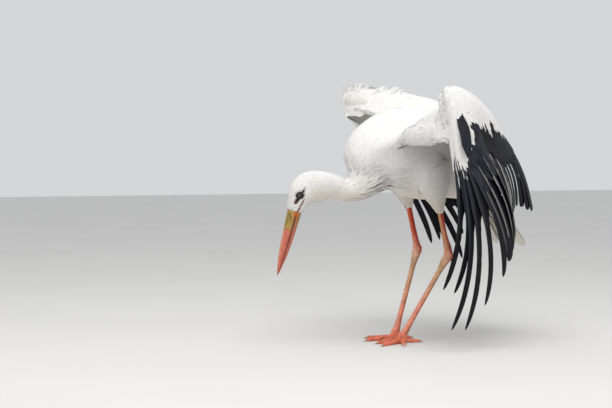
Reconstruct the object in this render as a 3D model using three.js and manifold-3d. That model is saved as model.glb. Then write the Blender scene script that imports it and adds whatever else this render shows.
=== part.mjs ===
// White stork (Ciconia ciconia), adult, life size, standing bent forward with half-open wings.
// Millimetres, +Z up. The bill points towards -X, the bird's left side is towards -Y and the soles
// stand on Z = 0. The last lines move the origin to the middle of the bounding box's underside.
import * as THREE from "three";
import { ParametricGeometry } from "three/addons/geometries/ParametricGeometry.js";
import { mergeVertices } from "three/addons/utils/BufferGeometryUtils.js";
import Module from "manifold-3d";

const wasm = await Module();
wasm.setup();

// ---------------------------------------------------------------- driving dimensions
const GAP = 0.3; // clearance between neighbouring solids
const BILL = { length: 164, depth: 36, width: 24 }; // both mandibles together, at the feathers
const MOUTH_DROP = 2; // the closed mouth's line lies this far under the bill's middle
const EYE_RADIUS = 7.5;
const TOE_LENGTHS = { inner: 64, middle: 80, outer: 68, hind: 40 };
const TOE_RADIUS = 5.4;
const CLAW_LENGTH = 11;
const BLADE = 2.4; // thickness of the flight feathers' vanes at their roots
const PRIMARIES = 10;
const FINGERS = 6; // outer primaries whose ends stand apart
const FINGER_START = 0.42; // share of a primary's length where it leaves its neighbours
const SECONDARIES = 8;
const TAIL_FEATHERS = 7; // those of the twelve that show side by side
const TAIL_LENGTH = 220;
const TAIL_SPREAD = 12; // degrees, half the fan's angle

const material = (color, roughness) => new THREE.MeshStandardMaterial({ color, roughness, metalness: 0 });
const PLUMAGE = material(0xece9e4, 0.85);
const FLIGHT = material(0x1b1a1f, 0.6);
const BILL_HORN = material(0xc9553a, 0.45);
const LEG_SKIN = material(0xd9603f, 0.6);
const CLAW_HORN = material(0xcdb9a6, 0.5);
const EYE = material(0x120d0b, 0.15);

const V = (x, y, z) => new THREE.Vector3(x, y, z);
const X = V(1, 0, 0);
const Y = V(0, 1, 0);
const Z = V(0, 0, 1);
const radians = THREE.MathUtils.degToRad;
const mix = THREE.MathUtils.lerp;
const smooth = (a, b, x) => THREE.MathUtils.smoothstep(x, a, b);

// ---------------------------------------------------------------- solids
/** A closed three.js geometry as a manifold-3d solid with its faces pointing out. */
function solidOf(geometry) {
  const bare = geometry.clone();
  bare.deleteAttribute("normal");
  bare.deleteAttribute("uv");
  const merged = mergeVertices(bare, 1e-3);
  const index = merged.index.array;
  const faces = [];
  for (let i = 0; i < index.length; i += 3) {
    const face = [index[i], index[i + 1], index[i + 2]];
    if (new Set(face).size === 3) faces.push(face);
  }
  const build = (list) =>
    new wasm.Manifold(
      new wasm.Mesh({
        numProp: 3,
        vertProperties: merged.attributes.position.array,
        triVerts: new Uint32Array(list.flat()),
      }),
    );
  const made = build(faces);
  return made.volume() > 0 ? made : build(faces.map(([a, b, c]) => [a, c, b]));
}

/** A manifold-3d solid as a named three.js mesh. */
function meshOf(name, solid, look) {
  const { vertProperties, triVerts } = solid.getMesh();
  const geometry = new THREE.BufferGeometry()
    .setAttribute("position", new THREE.BufferAttribute(vertProperties, 3))
    .setIndex(new THREE.BufferAttribute(triVerts, 1));
  geometry.computeVertexNormals();
  const mesh = new THREE.Mesh(geometry, look);
  mesh.name = name;
  return mesh;
}

const joined = (solids) => solids.reduce((whole, next) => whole.add(next));

/** The biggest body of a solid, without the slivers that a cut leaves. */
const biggest = (solid) => solid.decompose().sort((a, b) => b.volume() - a.volume())[0];

/** A closed skin over rings: ring(u, t) is a point at the angle u (0 to 1) and the length t (0 to 1),
 *  and both ends are shut by a fan to the ring's centre. */
function skinned(ring, centre, around, along) {
  const steps = along + 2;
  const surface = (u, v, target) => {
    const j = Math.round(v * steps);
    const t = THREE.MathUtils.clamp((j - 1) / along, 0, 1);
    if (j === 0 || j === steps) target.copy(centre(t));
    else target.copy(ring((Math.round(u * around) % around) / around, t));
  };
  return solidOf(new ParametricGeometry(surface, around, steps));
}

/** A closed sheet between two surfaces: upper(u, v) and lower(u, v) are points for u and v from 0 to 1,
 *  joined by a rim all the way round. */
function sheet(upper, lower, across, along) {
  const points = [];
  for (const face of [upper, lower]) {
    for (let j = 0; j <= along; j++) {
      for (let i = 0; i <= across; i++) points.push(face(i / across, j / along));
    }
  }
  const count = points.length / 2;
  const at = (i, j) => j * (across + 1) + i;
  const index = [];
  for (let j = 0; j < along; j++) {
    for (let i = 0; i < across; i++) {
      const [a, b, c, d] = [at(i, j), at(i + 1, j), at(i + 1, j + 1), at(i, j + 1)];
      index.push(a, b, c, a, c, d, count + a, count + c, count + b, count + a, count + d, count + c);
    }
  }
  const rim = [
    ...Array.from({ length: across }, (_, i) => at(i, 0)),
    ...Array.from({ length: along }, (_, j) => at(across, j)),
    ...Array.from({ length: across }, (_, i) => at(across - i, along)),
    ...Array.from({ length: along }, (_, j) => at(0, along - j)),
  ];
  rim.forEach((a, k) => {
    const b = rim[(k + 1) % rim.length];
    index.push(a, count + b, b, a, count + a, count + b);
  });
  return solidOf(new THREE.BufferGeometry().setFromPoints(points).setIndex(index));
}

/** A body of oval sections along a smooth path. Each station is [x, y, z, up, down, side]: `up` and
 *  `down` are the half depths above and below the path, `side` is the half width along `across`. */
function lofted(stations, { around = 16, along = 16, grow = 0, across = Y } = {}) {
  const path = new THREE.CatmullRomCurve3(stations.map(([x, y, z]) => V(x, y, z)));
  const girth = new THREE.CatmullRomCurve3(stations.map(([, , , up, down, side]) => V(up, down, side)));
  const ring = (u, t) => {
    const tangent = path.getTangent(t);
    const side = across.clone().addScaledVector(tangent, -across.dot(tangent)).normalize();
    const above = tangent.clone().cross(side);
    const size = girth.getPoint(t);
    const [c, s] = [Math.cos(2 * Math.PI * u), Math.sin(2 * Math.PI * u)];
    return path
      .getPoint(t)
      .addScaledVector(side, c * (size.z + grow))
      .addScaledVector(above, s * ((s > 0 ? size.x : size.y) + grow));
  };
  return skinned(ring, (t) => path.getPoint(t), around, along);
}

/** The part of a solid on the side of a plane that `normal` points to, less half the gap. */
function half(solid, point, normal) {
  const size = 1500;
  const box = new THREE.BoxGeometry(size, size, size);
  box.translate(0, 0, (size + GAP) / 2);
  box.applyQuaternion(new THREE.Quaternion().setFromUnitVectors(Z, normal.clone().normalize()));
  box.translate(point.x, point.y, point.z);
  return solid.intersect(solidOf(box));
}

const mirrored = (point, side) => V(point.x, side * point.y, point.z);

// ---------------------------------------------------------------- trunk, neck and head
// From the breast to the rump. `up` and `down` are square to the path, which sinks towards the tail.
const TRUNK = [
  [-127, 0, 408, 8, 8, 10],
  [-118, 0, 416, 40, 42, 42],
  [-86, 0, 438, 73, 76, 64],
  [-30, 0, 455, 97, 96, 80],
  [35, 0, 452, 110, 108, 82],
  [98, 0, 432, 106, 102, 68],
  [154, 0, 400, 68, 68, 48],
  [196, 0, 368, 36, 38, 30],
  [218, 0, 348, 16, 16, 16],
];
// From the bill's base over the crown and down the neck into the breast.
const HEAD_NECK = [
  [-274, 0, 319, 18, 18, 12],
  [-270, 0, 333, 23, 22, 18],
  [-257, 0, 353, 37, 28, 25],
  [-234, 0, 370, 39, 37, 27],
  [-206, 0, 376, 33, 38, 26],
  [-178, 0, 374, 28, 31, 25],
  [-150, 0, 362, 27, 26, 25],
  [-118, 0, 364, 44, 26, 32],
  [-84, 0, 388, 58, 40, 44],
  [-52, 0, 420, 54, 46, 50],
];
const NAPE = V(-196, 0, 377);

const trunk = lofted(TRUNK, { around: 20, along: 16 });
const trunkRoom = lofted(TRUNK, { around: 20, along: 16, grow: GAP });
const headNeck = lofted(HEAD_NECK, { around: 14, along: 24 });
const headRoom = lofted(HEAD_NECK, { around: 14, along: 24, grow: GAP });

const EYE_CENTRE = V(-265, 17.5, 355);
const eyeball = (side, grow = 0) =>
  solidOf(new THREE.SphereGeometry(EYE_RADIUS + grow, 10, 6)).translate([
    EYE_CENTRE.x,
    side * EYE_CENTRE.y,
    EYE_CENTRE.z,
  ]);

const neck = half(headNeck, NAPE, X).subtract(trunkRoom);
const head = half(headNeck, NAPE, X.clone().negate())
  .subtract(eyeball(1, GAP))
  .subtract(eyeball(-1, GAP));

// ---------------------------------------------------------------- bill
/** One mandible: the half of a long tapering spike above or below the closed mouth's line. */
function mandible(upper) {
  const base = V(-271, 0, 332);
  const along = V(-0.285, 0, -0.96).normalize();
  const ridge = V(along.z, 0, -along.x); // towards the bill's back, which faces forwards
  const tip = base.clone().addScaledVector(along, BILL.length);
  const taper = (s) => Math.max((1 - 0.3 * s) * (1 - s ** 6), 0.03);
  const centre = (s) => base.clone().lerp(tip, s);
  const ring = (u, s) =>
    centre(s)
      .addScaledVector(Y, (Math.cos(2 * Math.PI * u) * BILL.width * taper(s)) / 2)
      .addScaledVector(ridge, (Math.sin(2 * Math.PI * u) * BILL.depth * taper(s)) / 2);
  const mouth = base.clone().addScaledVector(ridge, -MOUTH_DROP);
  const facing = upper ? ridge : ridge.clone().negate();
  return half(skinned(ring, centre, 12, 9), mouth, facing).subtract(headRoom);
}

// ---------------------------------------------------------------- tail
/** A feather's midline from root to tip, bent towards `bow` most at the share `crest`. */
const quill = (root, tip, bow, crest = 0.45) =>
  new THREE.QuadraticBezierCurve3(root, root.clone().lerp(tip, crest).add(bow), tip);

/** One feather: a thin blade along a quill, with its upper side towards `normal`. width(s) is its half
 *  width at the share s of the quill, and it begins at the share `from`. */
function blade(line, { normal, width, from = 0, steps = 5, around = 4, thick = BLADE }) {
  const ring = (u, t) => {
    const s = mix(from, 1, t);
    const tangent = line.getTangent(s);
    const side = normal.clone().cross(tangent).normalize();
    const above = tangent.clone().cross(side).normalize();
    const angle = 2 * Math.PI * (u + 0.5 / around);
    const deep = thick * mix(0.7, 0.35, s);
    return line
      .getPoint(s)
      .addScaledVector(side, Math.SQRT2 * Math.cos(angle) * width(s))
      .addScaledVector(above, Math.SQRT2 * Math.sin(angle) * deep);
  };
  return skinned(ring, (t) => line.getPoint(mix(from, 1, t)), around, steps);
}

/** A fan of overlapping feathers as one sheet. line(u) is the quill at the place u from 0 to 1 across,
 *  share(u) is how much of it the sheet covers, and each feather's end is rounded by `scallop`. */
function fan(line, { feathers, normal, scallop, share = () => 1, rows = 4, columns = 3, thick = BLADE }) {
  const upper = (u, v) => {
    const offCentre = Math.abs(2 * ((u * feathers * 0.9999) % 1) - 1);
    const quillLine = line(u);
    const rounding = (scallop * offCentre ** 2) / quillLine.v0.distanceTo(quillLine.v2);
    return quillLine.getPoint(v * (share(u) - rounding));
  };
  const lower = (u, v) => upper(u, v).addScaledVector(normal(u), -thick * mix(1, 0.6, v));
  return sheet(upper, lower, feathers * columns, rows);
}

/** The tail's feathers in one fan, cut by the rump that they grow from. */
function tail() {
  const root = V(184, 0, 388);
  const along = V(0.66, 0, -0.75);
  const normal = V(0.75, 0, 0.66);
  const place = (u) => mix(-1, 1, u);
  const arch = (u) => normal.clone().multiplyScalar(-9 * place(u) ** 2);
  const spread = (u) => along.clone().applyAxisAngle(normal, radians(place(u) * TAIL_SPREAD));
  const reach = (u) => TAIL_LENGTH - 14 * Math.abs(place(u));
  const line = (u) => {
    const start = root.clone().addScaledVector(Y, place(u) * 22).add(arch(u));
    const end = start.clone().addScaledVector(spread(u), reach(u)).add(arch(u));
    return quill(start, end, normal.clone().multiplyScalar(8));
  };
  const feathers = TAIL_FEATHERS;
  return fan(line, { feathers, normal: () => normal, scallop: 12, thick: 5 }).subtract(trunkRoom);
}

// ---------------------------------------------------------------- legs
// Joints of each leg. `heading` is the middle toe's bearing and `hallux` the hind toe's, in degrees.
const LEGS = {
  left: {
    side: -1,
    knee: V(50, -62, 418),
    hock: V(106, -46, 206),
    ankle: V(-8, -31, 19),
    heading: 206,
    hallux: -8,
  },
  right: {
    side: 1,
    knee: V(32, 62, 425),
    hock: V(72, 46, 217),
    ankle: V(5, 31, 19),
    heading: 184,
    hallux: 2,
  },
};
const TOE_ANGLES = { inner: 30, middle: 0, outer: -37 }; // degrees from the foot's heading
const THIGH_SHARE = 0.5; // share of the lower leg that is feathered
const HOCK_SHARE = 0.95; // where the shank ends and the knobbed hock begins

/** A feathered thigh, the bare shank, the tarsus with its knobbed hock, a foot and four claws. */
function leg(name, { side, knee, hock, ankle, heading, hallux }) {
  const between = (a, b, s) => a.clone().lerp(b, s).toArray();
  const down = hock.clone().sub(knee).normalize();
  const hem = knee.clone().lerp(hock, THIGH_SHARE);
  const hockTop = knee.clone().lerp(hock, HOCK_SHARE);
  const thigh = lofted(
    [
      [...between(knee, hock, -0.14), 26, 30, 18],
      [...between(knee, hock, 0), 46, 48, 34],
      [...between(knee, hock, 0.2), 38, 42, 29],
      [...between(knee, hock, 0.38), 19, 24, 17],
      [...between(knee, hock, 0.52), 8.5, 9, 8.5],
    ],
    { around: 12, along: 8 },
  ).subtract(trunkRoom);
  const shank = lofted(
    [
      [...between(knee, hock, THIGH_SHARE - 0.02), 7.2, 7.2, 6.4],
      [...between(knee, hock, 0.7), 6.6, 6.6, 6.0],
      [...between(knee, hock, 0.88), 7.6, 7.2, 6.8],
      [...between(knee, hock, 1), 10, 9.4, 9.2],
    ],
    { around: 8, along: 4 },
  );
  const tarsus = lofted(
    [
      [...between(knee, hock, HOCK_SHARE - 0.03), 9.2, 8.8, 8.8],
      [...between(hock, ankle, 0), 11.6, 10.4, 9.8],
      [...between(hock, ankle, 0.1), 8.8, 9.4, 8.6],
      [...between(hock, ankle, 0.24), 6.2, 6.6, 6.0],
      [...between(hock, ankle, 0.8), 6.4, 6.6, 6.0],
      [...between(hock, ankle, 1), 9.6, 9.6, 8.8],
    ],
    { around: 8, along: 10 },
  );
  const ball = lofted(
    [
      [...between(hock, ankle, 0.97), 9.2, 9.2, 8.6],
      [ankle.x - 1, ankle.y, ankle.z - 5, 11.5, 11.5, 10.5],
      [ankle.x - 4, ankle.y, 4, 12, 11, 11.5],
      [ankle.x - 4, ankle.y, -2, 10, 9, 9.5],
    ],
    { around: 8, along: 4 },
  );
  const toes = [];
  const claws = {};
  for (const [toe, length] of Object.entries(TOE_LENGTHS)) {
    const bearing = radians(toe === "hind" ? hallux : heading + side * TOE_ANGLES[toe]);
    const way = V(Math.cos(bearing), Math.sin(bearing), 0);
    const across = way.clone().cross(Z).negate();
    const girth = toe === "hind" ? TOE_RADIUS * 0.85 : TOE_RADIUS;
    const at = (distance, height) => [ankle.x + way.x * distance, ankle.y + way.y * distance, height];
    const nailBed = V(...at(length, 0));
    const digit = lofted(
      [
        [...at(0, 9), girth * 1.3, girth * 1.3, girth * 1.2],
        [...at(length * 0.25, 5.6), girth * 0.95, girth, girth * 0.95],
        [...at(length * 0.45, 4.6), girth, girth, girth],
        [...at(length * 0.7, 3.9), girth * 0.82, girth * 0.9, girth * 0.85],
        [...at(length * 0.92, 3.6), girth * 0.78, girth * 0.85, girth * 0.8],
        [...at(length + 3, 3.0), girth * 0.4, girth * 0.6, girth * 0.5],
      ],
      { around: 6, along: 6, across },
    );
    toes.push(half(digit, nailBed, way.clone().negate()));
    const claw = lofted(
      [
        [...at(length - 1, 3.2), girth * 0.6, girth * 0.7, girth * 0.5],
        [...at(length + CLAW_LENGTH * 0.55, 2.2), girth * 0.5, girth * 0.6, girth * 0.42],
        [...at(length + CLAW_LENGTH, 0.5), 0.9, 0.9, 0.9],
      ],
      { around: 6, along: 2, across },
    );
    claws[toe] = half(half(claw, nailBed, way), V(0, 0, -GAP / 2), Z);
  }
  const foot = half(joined([ball, ...toes]), V(0, 0, -GAP / 2), Z);
  const up = down.clone().negate();
  const instep = ankle.clone().add(V(0, 0, 1));
  return [
    meshOf(`thigh_${name}`, half(thigh, hem, up), PLUMAGE),
    meshOf(`shank_${name}`, half(half(shank, hem, down), hockTop, up), LEG_SKIN),
    meshOf(`tarsus_${name}`, half(half(tarsus, hockTop, down), instep, Z), LEG_SKIN),
    meshOf(`foot_${name}`, half(foot, instep, Z.clone().negate()), LEG_SKIN),
    ...Object.entries(claws).map(([toe, claw]) => meshOf(`claw_${name}_${toe}`, claw, CLAW_HORN)),
  ];
}

// ---------------------------------------------------------------- wings
// Sections of the left wing's covert sheet, from the shoulder to the fingertip. Each runs from the
// leading edge over the ridge of the arm to the hem of the coverts, and back underneath. `depth` is the
// thickness under the ridge, `brow` the height of the feathered leading edge, and `drawn` how far the
// leading edge of a wing that is held higher is drawn up and back.
const WING_SECTIONS = [
  {
    leading: V(-44, -58, 488),
    ridge: V(90, -70, 560),
    slope: V(170, -78, 552),
    hem: V(230, -84, 486),
    depth: 34,
    brow: 18,
    drawn: V(30, 0, 36),
  },
  {
    leading: V(-44, -120, 504),
    ridge: V(92, -138, 580),
    slope: V(162, -142, 542),
    hem: V(206, -146, 462),
    depth: 40,
    brow: 26,
    drawn: V(50, 0, 40),
  },
  {
    leading: V(-28, -190, 513),
    ridge: V(50, -200, 592),
    slope: V(116, -208, 538),
    hem: V(144, -206, 448),
    depth: 34,
    brow: 32,
    drawn: V(35, 0, 49),
  },
  {
    leading: V(-22, -250, 536),
    ridge: V(-20, -253, 591),
    slope: V(46, -256, 562),
    hem: V(80, -248, 470),
    depth: 15,
    brow: 50,
    drawn: V(-8, 0, 38),
  },
  {
    leading: V(-17, -262, 486),
    ridge: V(-4, -274, 508),
    slope: V(30, -276, 500),
    hem: V(62, -266, 456),
    depth: 16,
    brow: 16,
    drawn: V(0, 0, 28),
  },
  {
    leading: V(-6, -266, 424),
    ridge: V(4, -272, 432),
    slope: V(22, -273, 434),
    hem: V(44, -268, 424),
    depth: 9,
    brow: 9,
    drawn: V(0, 0, 8),
  },
];
const WRIST = V(-4, -250, 569);
const WRIST_SECTION = 3;
const WRIST_SHARE = 0.64; // where the hand begins along the sheet
const WRIST_GAP = 0.012; // clearance between arm and hand, as a share of the sheet
const HEM_GAP = 4.8; // the flight feathers start this far out of the coverts' hem
const ARM_INWARD = V(-0.35, 0.5, -0.79); // through the arm from its upper to its lower side
const HAND_INWARD = V(0.05, 1, 0.1);
const ARM_NORMAL = V(0.67, -0.45, 0.58); // upper side of the secondaries
const HAND_NORMAL = V(0.12, -0.98, 0.12); // upper side of the primaries
// Tips of the left primaries from the innermost to the outermost.
const PRIMARY_TIPS = [
  V(172, -238, 258),
  V(164, -242, 244),
  V(156, -246, 226),
  V(146, -250, 204),
  V(128, -254, 169),
  V(78, -258, 107),
  V(27, -258, 54),
  V(-7, -256, 55),
  V(0, -255, 137),
  V(-26, -252, 146),
];
// The line of the secondaries' and tertials' tips, from the wrist to the body.
const SECONDARY_TIPS = new THREE.CatmullRomCurve3([
  V(184, -234, 271),
  V(206, -206, 300),
  V(240, -165, 318),
  V(282, -132, 318),
  V(302, -108, 338),
]);

// The thumb's feathers, which lie on the hand's outside. `width` is half of what they cover.
const ALULA = { root: V(4, -283, 532), tip: V(30, -287, 432), bow: V(6, -3, 0), width: 17 };

// `fold` turns the hand back, in degrees, and `ruffle` is how far raised coverts stand above the arm.
// `high` is the share of `drawn` that the leading edge takes, and `chin` the share of `brow`.
const WINGS = {
  left: { side: -1, fold: 0, ruffle: 0, high: 0, chin: 1 },
  right: { side: 1, fold: 36, ruffle: 18, high: 1, chin: 0.3 },
};

/** Turns a point of the hand about the wrist, towards the tail. */
function folded(point, degrees) {
  return point.clone().sub(WRIST).applyAxisAngle(Y, radians(-degrees)).add(WRIST);
}

/** The wing's arm, hand and thumb, its secondaries with the tertials, and its primaries. The left wing's
 *  points are mirrored for the right one. */
function wing(name, { side, fold, ruffle, high, chin }) {
  const place = (point, degrees = 0) => mirrored(folded(point, degrees), -side);
  const catmull = (points) => new THREE.CatmullRomCurve3(points);

  // The covert sheet: u runs from the shoulder to the fingertip, v from the leading edge to the hem.
  const inward = (i) =>
    ARM_INWARD.clone().lerp(HAND_INWARD, smooth(WRIST_SECTION - 1, WRIST_SECTION + 1, i)).normalize();
  const rail = (corner) =>
    catmull(
      WING_SECTIONS.map((section, i) =>
        place(corner(section, i), fold * smooth(WRIST_SECTION - 1, WRIST_SECTION + 2, i)),
      ),
    );
  const under = (point, deep, i) => point.clone().addScaledVector(inward(i), deep);
  const raised = (point, i, share = 1) =>
    point.clone().addScaledVector(Z, i > WRIST_SECTION ? 0 : ruffle * share);
  const ahead = ({ leading, drawn }) => leading.clone().addScaledVector(drawn, high);
  const below = (section, i) => {
    const deep = section.brow * (i > WRIST_SECTION ? 1 : chin);
    return under(ahead(section), deep * 0.2, i).add(i > WRIST_SECTION ? V(0, deep, 0) : V(0, 0, -deep));
  };
  const upperRails = [
    rail(ahead),
    rail(({ ridge }, i) => raised(ridge, i)),
    rail(({ slope }, i) => raised(slope, i)),
    rail(({ hem }) => hem),
  ];
  const lowerRails = [
    rail(below),
    rail(({ ridge, depth }, i) => under(raised(ridge, i, 0.6), depth, i)),
    rail(({ slope, depth }, i) => under(raised(slope, i), depth / 2, i)),
    rail(({ hem }, i) => under(hem, BLADE, i)),
  ];
  const across = (rails, u, v) => catmull(rails.map((line) => line.getPoint(u))).getPoint(v);
  const coverts = (from, to, steps) =>
    sheet(
      (t, v) => across(upperRails, mix(from, to, t), v),
      (t, v) => across(lowerRails, mix(from, to, t), v),
      steps,
      6,
    );
  const arm = biggest(coverts(0, WRIST_SHARE, 8).subtract(trunkRoom));
  const hand = coverts(WRIST_SHARE + WRIST_GAP, 1, 4);

  // Where the flight feathers leave the hem. Outside the hand they leave the sheet's end.
  const hem = (u) => across(upperRails, Math.min(u, 1), u > 1 ? 2 - u : 1);
  const leaving = (u, tip, bow, crest) => {
    const start = hem(u).lerp(across(lowerRails, Math.min(u, 1), u > 1 ? 2 - u : 1), 0.5);
    const way = tip.clone().sub(start).normalize();
    return quill(start.addScaledVector(way, HEM_GAP), tip, mirrored(bow, -side), crest);
  };
  const palm = (u) => HAND_NORMAL.clone().lerp(ARM_NORMAL, smooth(0.6, 1.2, 1 - u)).normalize();
  const primaryTip = catmull(
    PRIMARY_TIPS.map((tip, i) => place(tip, fold * mix(0.5, 1, smooth(0, 6, i)))),
  );
  const primary = (u) => {
    const bend = 20 + 45 * smooth(0.2, 0.75, u) - 28 * smooth(0.75, 1, u);
    const sweep = V(bend, 0, 0).applyAxisAngle(Y, radians(-fold));
    const bow = palm(u).multiplyScalar(16).add(sweep);
    return leaving(mix(0.67, 1.85, u), primaryTip.getPoint(u), bow, 0.58);
  };
  const palmNormal = (u) => mirrored(palm(u), -side);
  const palmBlade = fan(primary, {
    feathers: PRIMARIES,
    columns: 2,
    rows: 3,
    normal: palmNormal,
    share: (u) => mix(1, FINGER_START, smooth(0.3, 0.45, u)),
    scallop: 14,
  });
  const fingers = Array.from({ length: FINGERS }, (_, k) => {
    const u = (PRIMARIES - 1 - k) / (PRIMARIES - 1);
    const width = (s) => mix(13, 8.5, smooth(0.2, 0.4, s)) * Math.max(1 - s ** 5, 0.12) ** 0.7;
    return blade(primary(u), { normal: palmNormal(u), width, from: FINGER_START - 0.12, steps: 6 });
  });

  const secondary = (u) => {
    const tip = place(SECONDARY_TIPS.getPoint(u), fold * 0.4 * (1 - u));
    return leaving(mix(0.62, 0.02, u), tip, V(18, -8, 12));
  };
  const secondaries = fan(secondary, {
    feathers: SECONDARIES,
    normal: (u) => mirrored(ARM_NORMAL.clone().lerp(HAND_NORMAL, 0.3 * (1 - u)), -side),
    scallop: 22,
  });
  const thumb = quill(
    place(ALULA.root, fold),
    place(ALULA.tip, fold),
    mirrored(ALULA.bow, -side),
  );
  const alula = blade(thumb, {
    normal: mirrored(HAND_NORMAL, -side),
    width: (s) => ALULA.width * mix(0.75, 1, smooth(0, 0.3, s)) * mix(1, 0.2, smooth(0.5, 1, s)),
  });
  return [
    meshOf(`wing_${name}_arm`, arm, PLUMAGE),
    meshOf(`wing_${name}_hand`, hand, PLUMAGE),
    meshOf(`wing_${name}_alula`, alula, FLIGHT),
    meshOf(`wing_${name}_primaries`, joined([palmBlade, ...fingers]), FLIGHT),
    meshOf(`wing_${name}_secondaries`, secondaries, FLIGHT),
  ];
}

// ---------------------------------------------------------------- the whole bird
const bird = new THREE.Group();
bird.add(
  meshOf("trunk", trunk, PLUMAGE),
  meshOf("neck", neck, PLUMAGE),
  meshOf("head", head, PLUMAGE),
  meshOf("bill_upper", mandible(true), BILL_HORN),
  meshOf("bill_lower", mandible(false), BILL_HORN),
  meshOf("eye_left", eyeball(-1), EYE),
  meshOf("eye_right", eyeball(1), EYE),
  meshOf("tail", tail(), PLUMAGE),
  ...leg("left", LEGS.left),
  ...leg("right", LEGS.right),
  ...wing("left", WINGS.left),
  ...wing("right", WINGS.right),
);

const box = new THREE.Box3().setFromObject(bird);
const middle = box.getCenter(V(0, 0, 0));
bird.position.set(-middle.x, -middle.y, -box.min.z);

export default bird;
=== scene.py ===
"""Looks of a life-size white stork (Ciconia ciconia), bent forward with half-open wings.
Shapes are worked out in millimetres in the bird's own frame: the bill points towards -X, the left
side is towards -Y and the soles stand on Z = 0. put() moves them into the CAD frame, in metres."""

import bmesh
import bpy
import numpy as np
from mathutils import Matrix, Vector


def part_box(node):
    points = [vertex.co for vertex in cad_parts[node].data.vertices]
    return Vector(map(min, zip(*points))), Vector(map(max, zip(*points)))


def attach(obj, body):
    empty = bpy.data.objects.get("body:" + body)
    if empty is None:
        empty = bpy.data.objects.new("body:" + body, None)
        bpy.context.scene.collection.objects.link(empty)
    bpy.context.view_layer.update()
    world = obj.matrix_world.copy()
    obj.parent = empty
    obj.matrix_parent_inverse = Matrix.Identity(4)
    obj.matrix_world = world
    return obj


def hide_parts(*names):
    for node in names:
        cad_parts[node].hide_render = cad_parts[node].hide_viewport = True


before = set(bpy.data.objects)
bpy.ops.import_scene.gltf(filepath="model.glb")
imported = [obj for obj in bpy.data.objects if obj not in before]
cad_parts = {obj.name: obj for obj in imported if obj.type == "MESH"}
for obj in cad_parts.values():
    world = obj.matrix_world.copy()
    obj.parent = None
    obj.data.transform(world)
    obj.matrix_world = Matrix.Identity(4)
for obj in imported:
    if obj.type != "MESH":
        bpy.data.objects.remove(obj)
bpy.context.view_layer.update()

# ================================================================ skin
# One closed hide over trunk, neck, head, thighs, rump and the wings' flesh. The lofts are joined by
# remeshing, so no seam shows, and lie inside the solids by the depth of the coat that covers them.

# x, y, z of the middle line, then the half depths above and below it and the half width.
TRUNK = np.array(
    [
        (-127, 0, 408, 8, 8, 10), (-118, 0, 416, 40, 42, 42), (-86, 0, 438, 73, 76, 64),
        (-30, 0, 455, 97, 96, 80), (35, 0, 452, 110, 108, 82), (98, 0, 432, 106, 102, 68),
        (154, 0, 400, 68, 68, 48), (196, 0, 368, 36, 38, 30), (218, 0, 348, 16, 16, 16),
    ],
    float,
)
HEAD_NECK = np.array(
    [
        (-276.5, 0, 313.5, 20.5, 20.5, 15), (-271, 0, 331, 24, 23, 18), (-257, 0, 353, 37, 28, 25),
        (-234, 0, 370, 39, 37, 27), (-206, 0, 376, 33, 38, 26), (-178, 0, 374, 28, 31, 25),
        (-150, 0, 362, 27, 26, 25), (-118, 0, 364, 44, 26, 32), (-84, 0, 388, 58, 40, 44),
        (-52, 0, 420, 54, 46, 50),
    ],
    float,
)
LEGS = {
    "left": {"knee": (50, -62, 418), "hock": (106, -46, 206), "ankle": (-8, -31, 19), "side": -1,
             "heading": 206, "hallux": -8},
    "right": {"knee": (32, 62, 425), "hock": (72, 46, 217), "ankle": (5, 31, 19), "side": 1,
              "heading": 184, "hallux": 2},
}
# Share of the way from knee to hock, half depths in front and behind, half width.
THIGH = np.array(
    [(-0.14, 26, 30, 18), (0, 46, 48, 34), (0.2, 38, 42, 29), (0.38, 19, 24, 17), (0.52, 8.5, 9, 8.5)]
)
# The left wing's covert sheet from the saddle on the back to the fingertip: leading edge, ridge of
# the arm, slope and hem of the coverts, the depth under the ridge, the leading edge's height, and how
# far the leading edge of a wing that is held higher is drawn up and back.
WING_SECTIONS = [
    ((-36, 0, 480), (52, 0, 546), (122, 0, 508), (158, 0, 440), 30, 18, (10, 0, 10)),
    ((-44, -58, 488), (90, -70, 560), (170, -78, 552), (230, -84, 486), 34, 18, (30, 0, 36)),
    ((-44, -120, 504), (92, -138, 580), (162, -142, 542), (206, -146, 462), 40, 26, (50, 0, 40)),
    ((-28, -190, 513), (50, -200, 592), (116, -208, 538), (144, -206, 448), 34, 32, (35, 0, 49)),
    ((-22, -250, 536), (-20, -253, 591), (46, -256, 562), (80, -248, 470), 15, 50, (-8, 0, 38)),
    ((-10, -262, 486), (-4, -274, 508), (30, -276, 500), (62, -266, 456), 16, 16, (0, 0, 28)),
    ((-2, -266, 424), (6, -272, 432), (22, -273, 434), (44, -268, 424), 9, 9, (0, 0, 8)),
]
WRIST = np.array((-4, -250, 569.0))
WRIST_AT = 3  # the wrist's section, counted from the shoulder's
ARM_INWARD = np.array((-0.35, 0.5, -0.79))
HAND_INWARD = np.array((0.05, 1, 0.1))
# How each wing differs: its side, the degrees that its hand is folded back, the millimetres that its
# coverts are raised, and the shares of being held high, of a thick leading edge and of turned primaries.
WINGS = {
    "left": {"side": -1, "fold": 0, "ruffle": 0, "high": 0, "chin": 1, "twist": 0},
    "right": {"side": 1, "fold": 36, "ruffle": 18, "high": 1, "chin": 0.3, "twist": 0.5},
}

# How deep the hide lies under the solids, which is the depth of the coat on each part.
TRUNK_COAT, NECK_COAT, HEAD_COAT, THIGH_COAT, WING_COAT = 5.0, 4.0, 2.2, 4.5, 4.0
EYE = np.array((-265, 17.5, 355.0))
# The middle of the left eye's solid ties the bird's frame to the CAD frame.
ORIGIN = sum(np.array(corner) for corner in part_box("eye_left")) * 500 - EYE * (1, -1, 1)


def put(points):
    """Millimetres in the bird's frame as metres in the CAD frame."""
    return (np.asarray(points, float) + ORIGIN) / 1000


def unit(v):
    """Vectors over their lengths."""
    return v / np.maximum(np.linalg.norm(v, axis=-1, keepdims=True), 1e-9)


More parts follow.
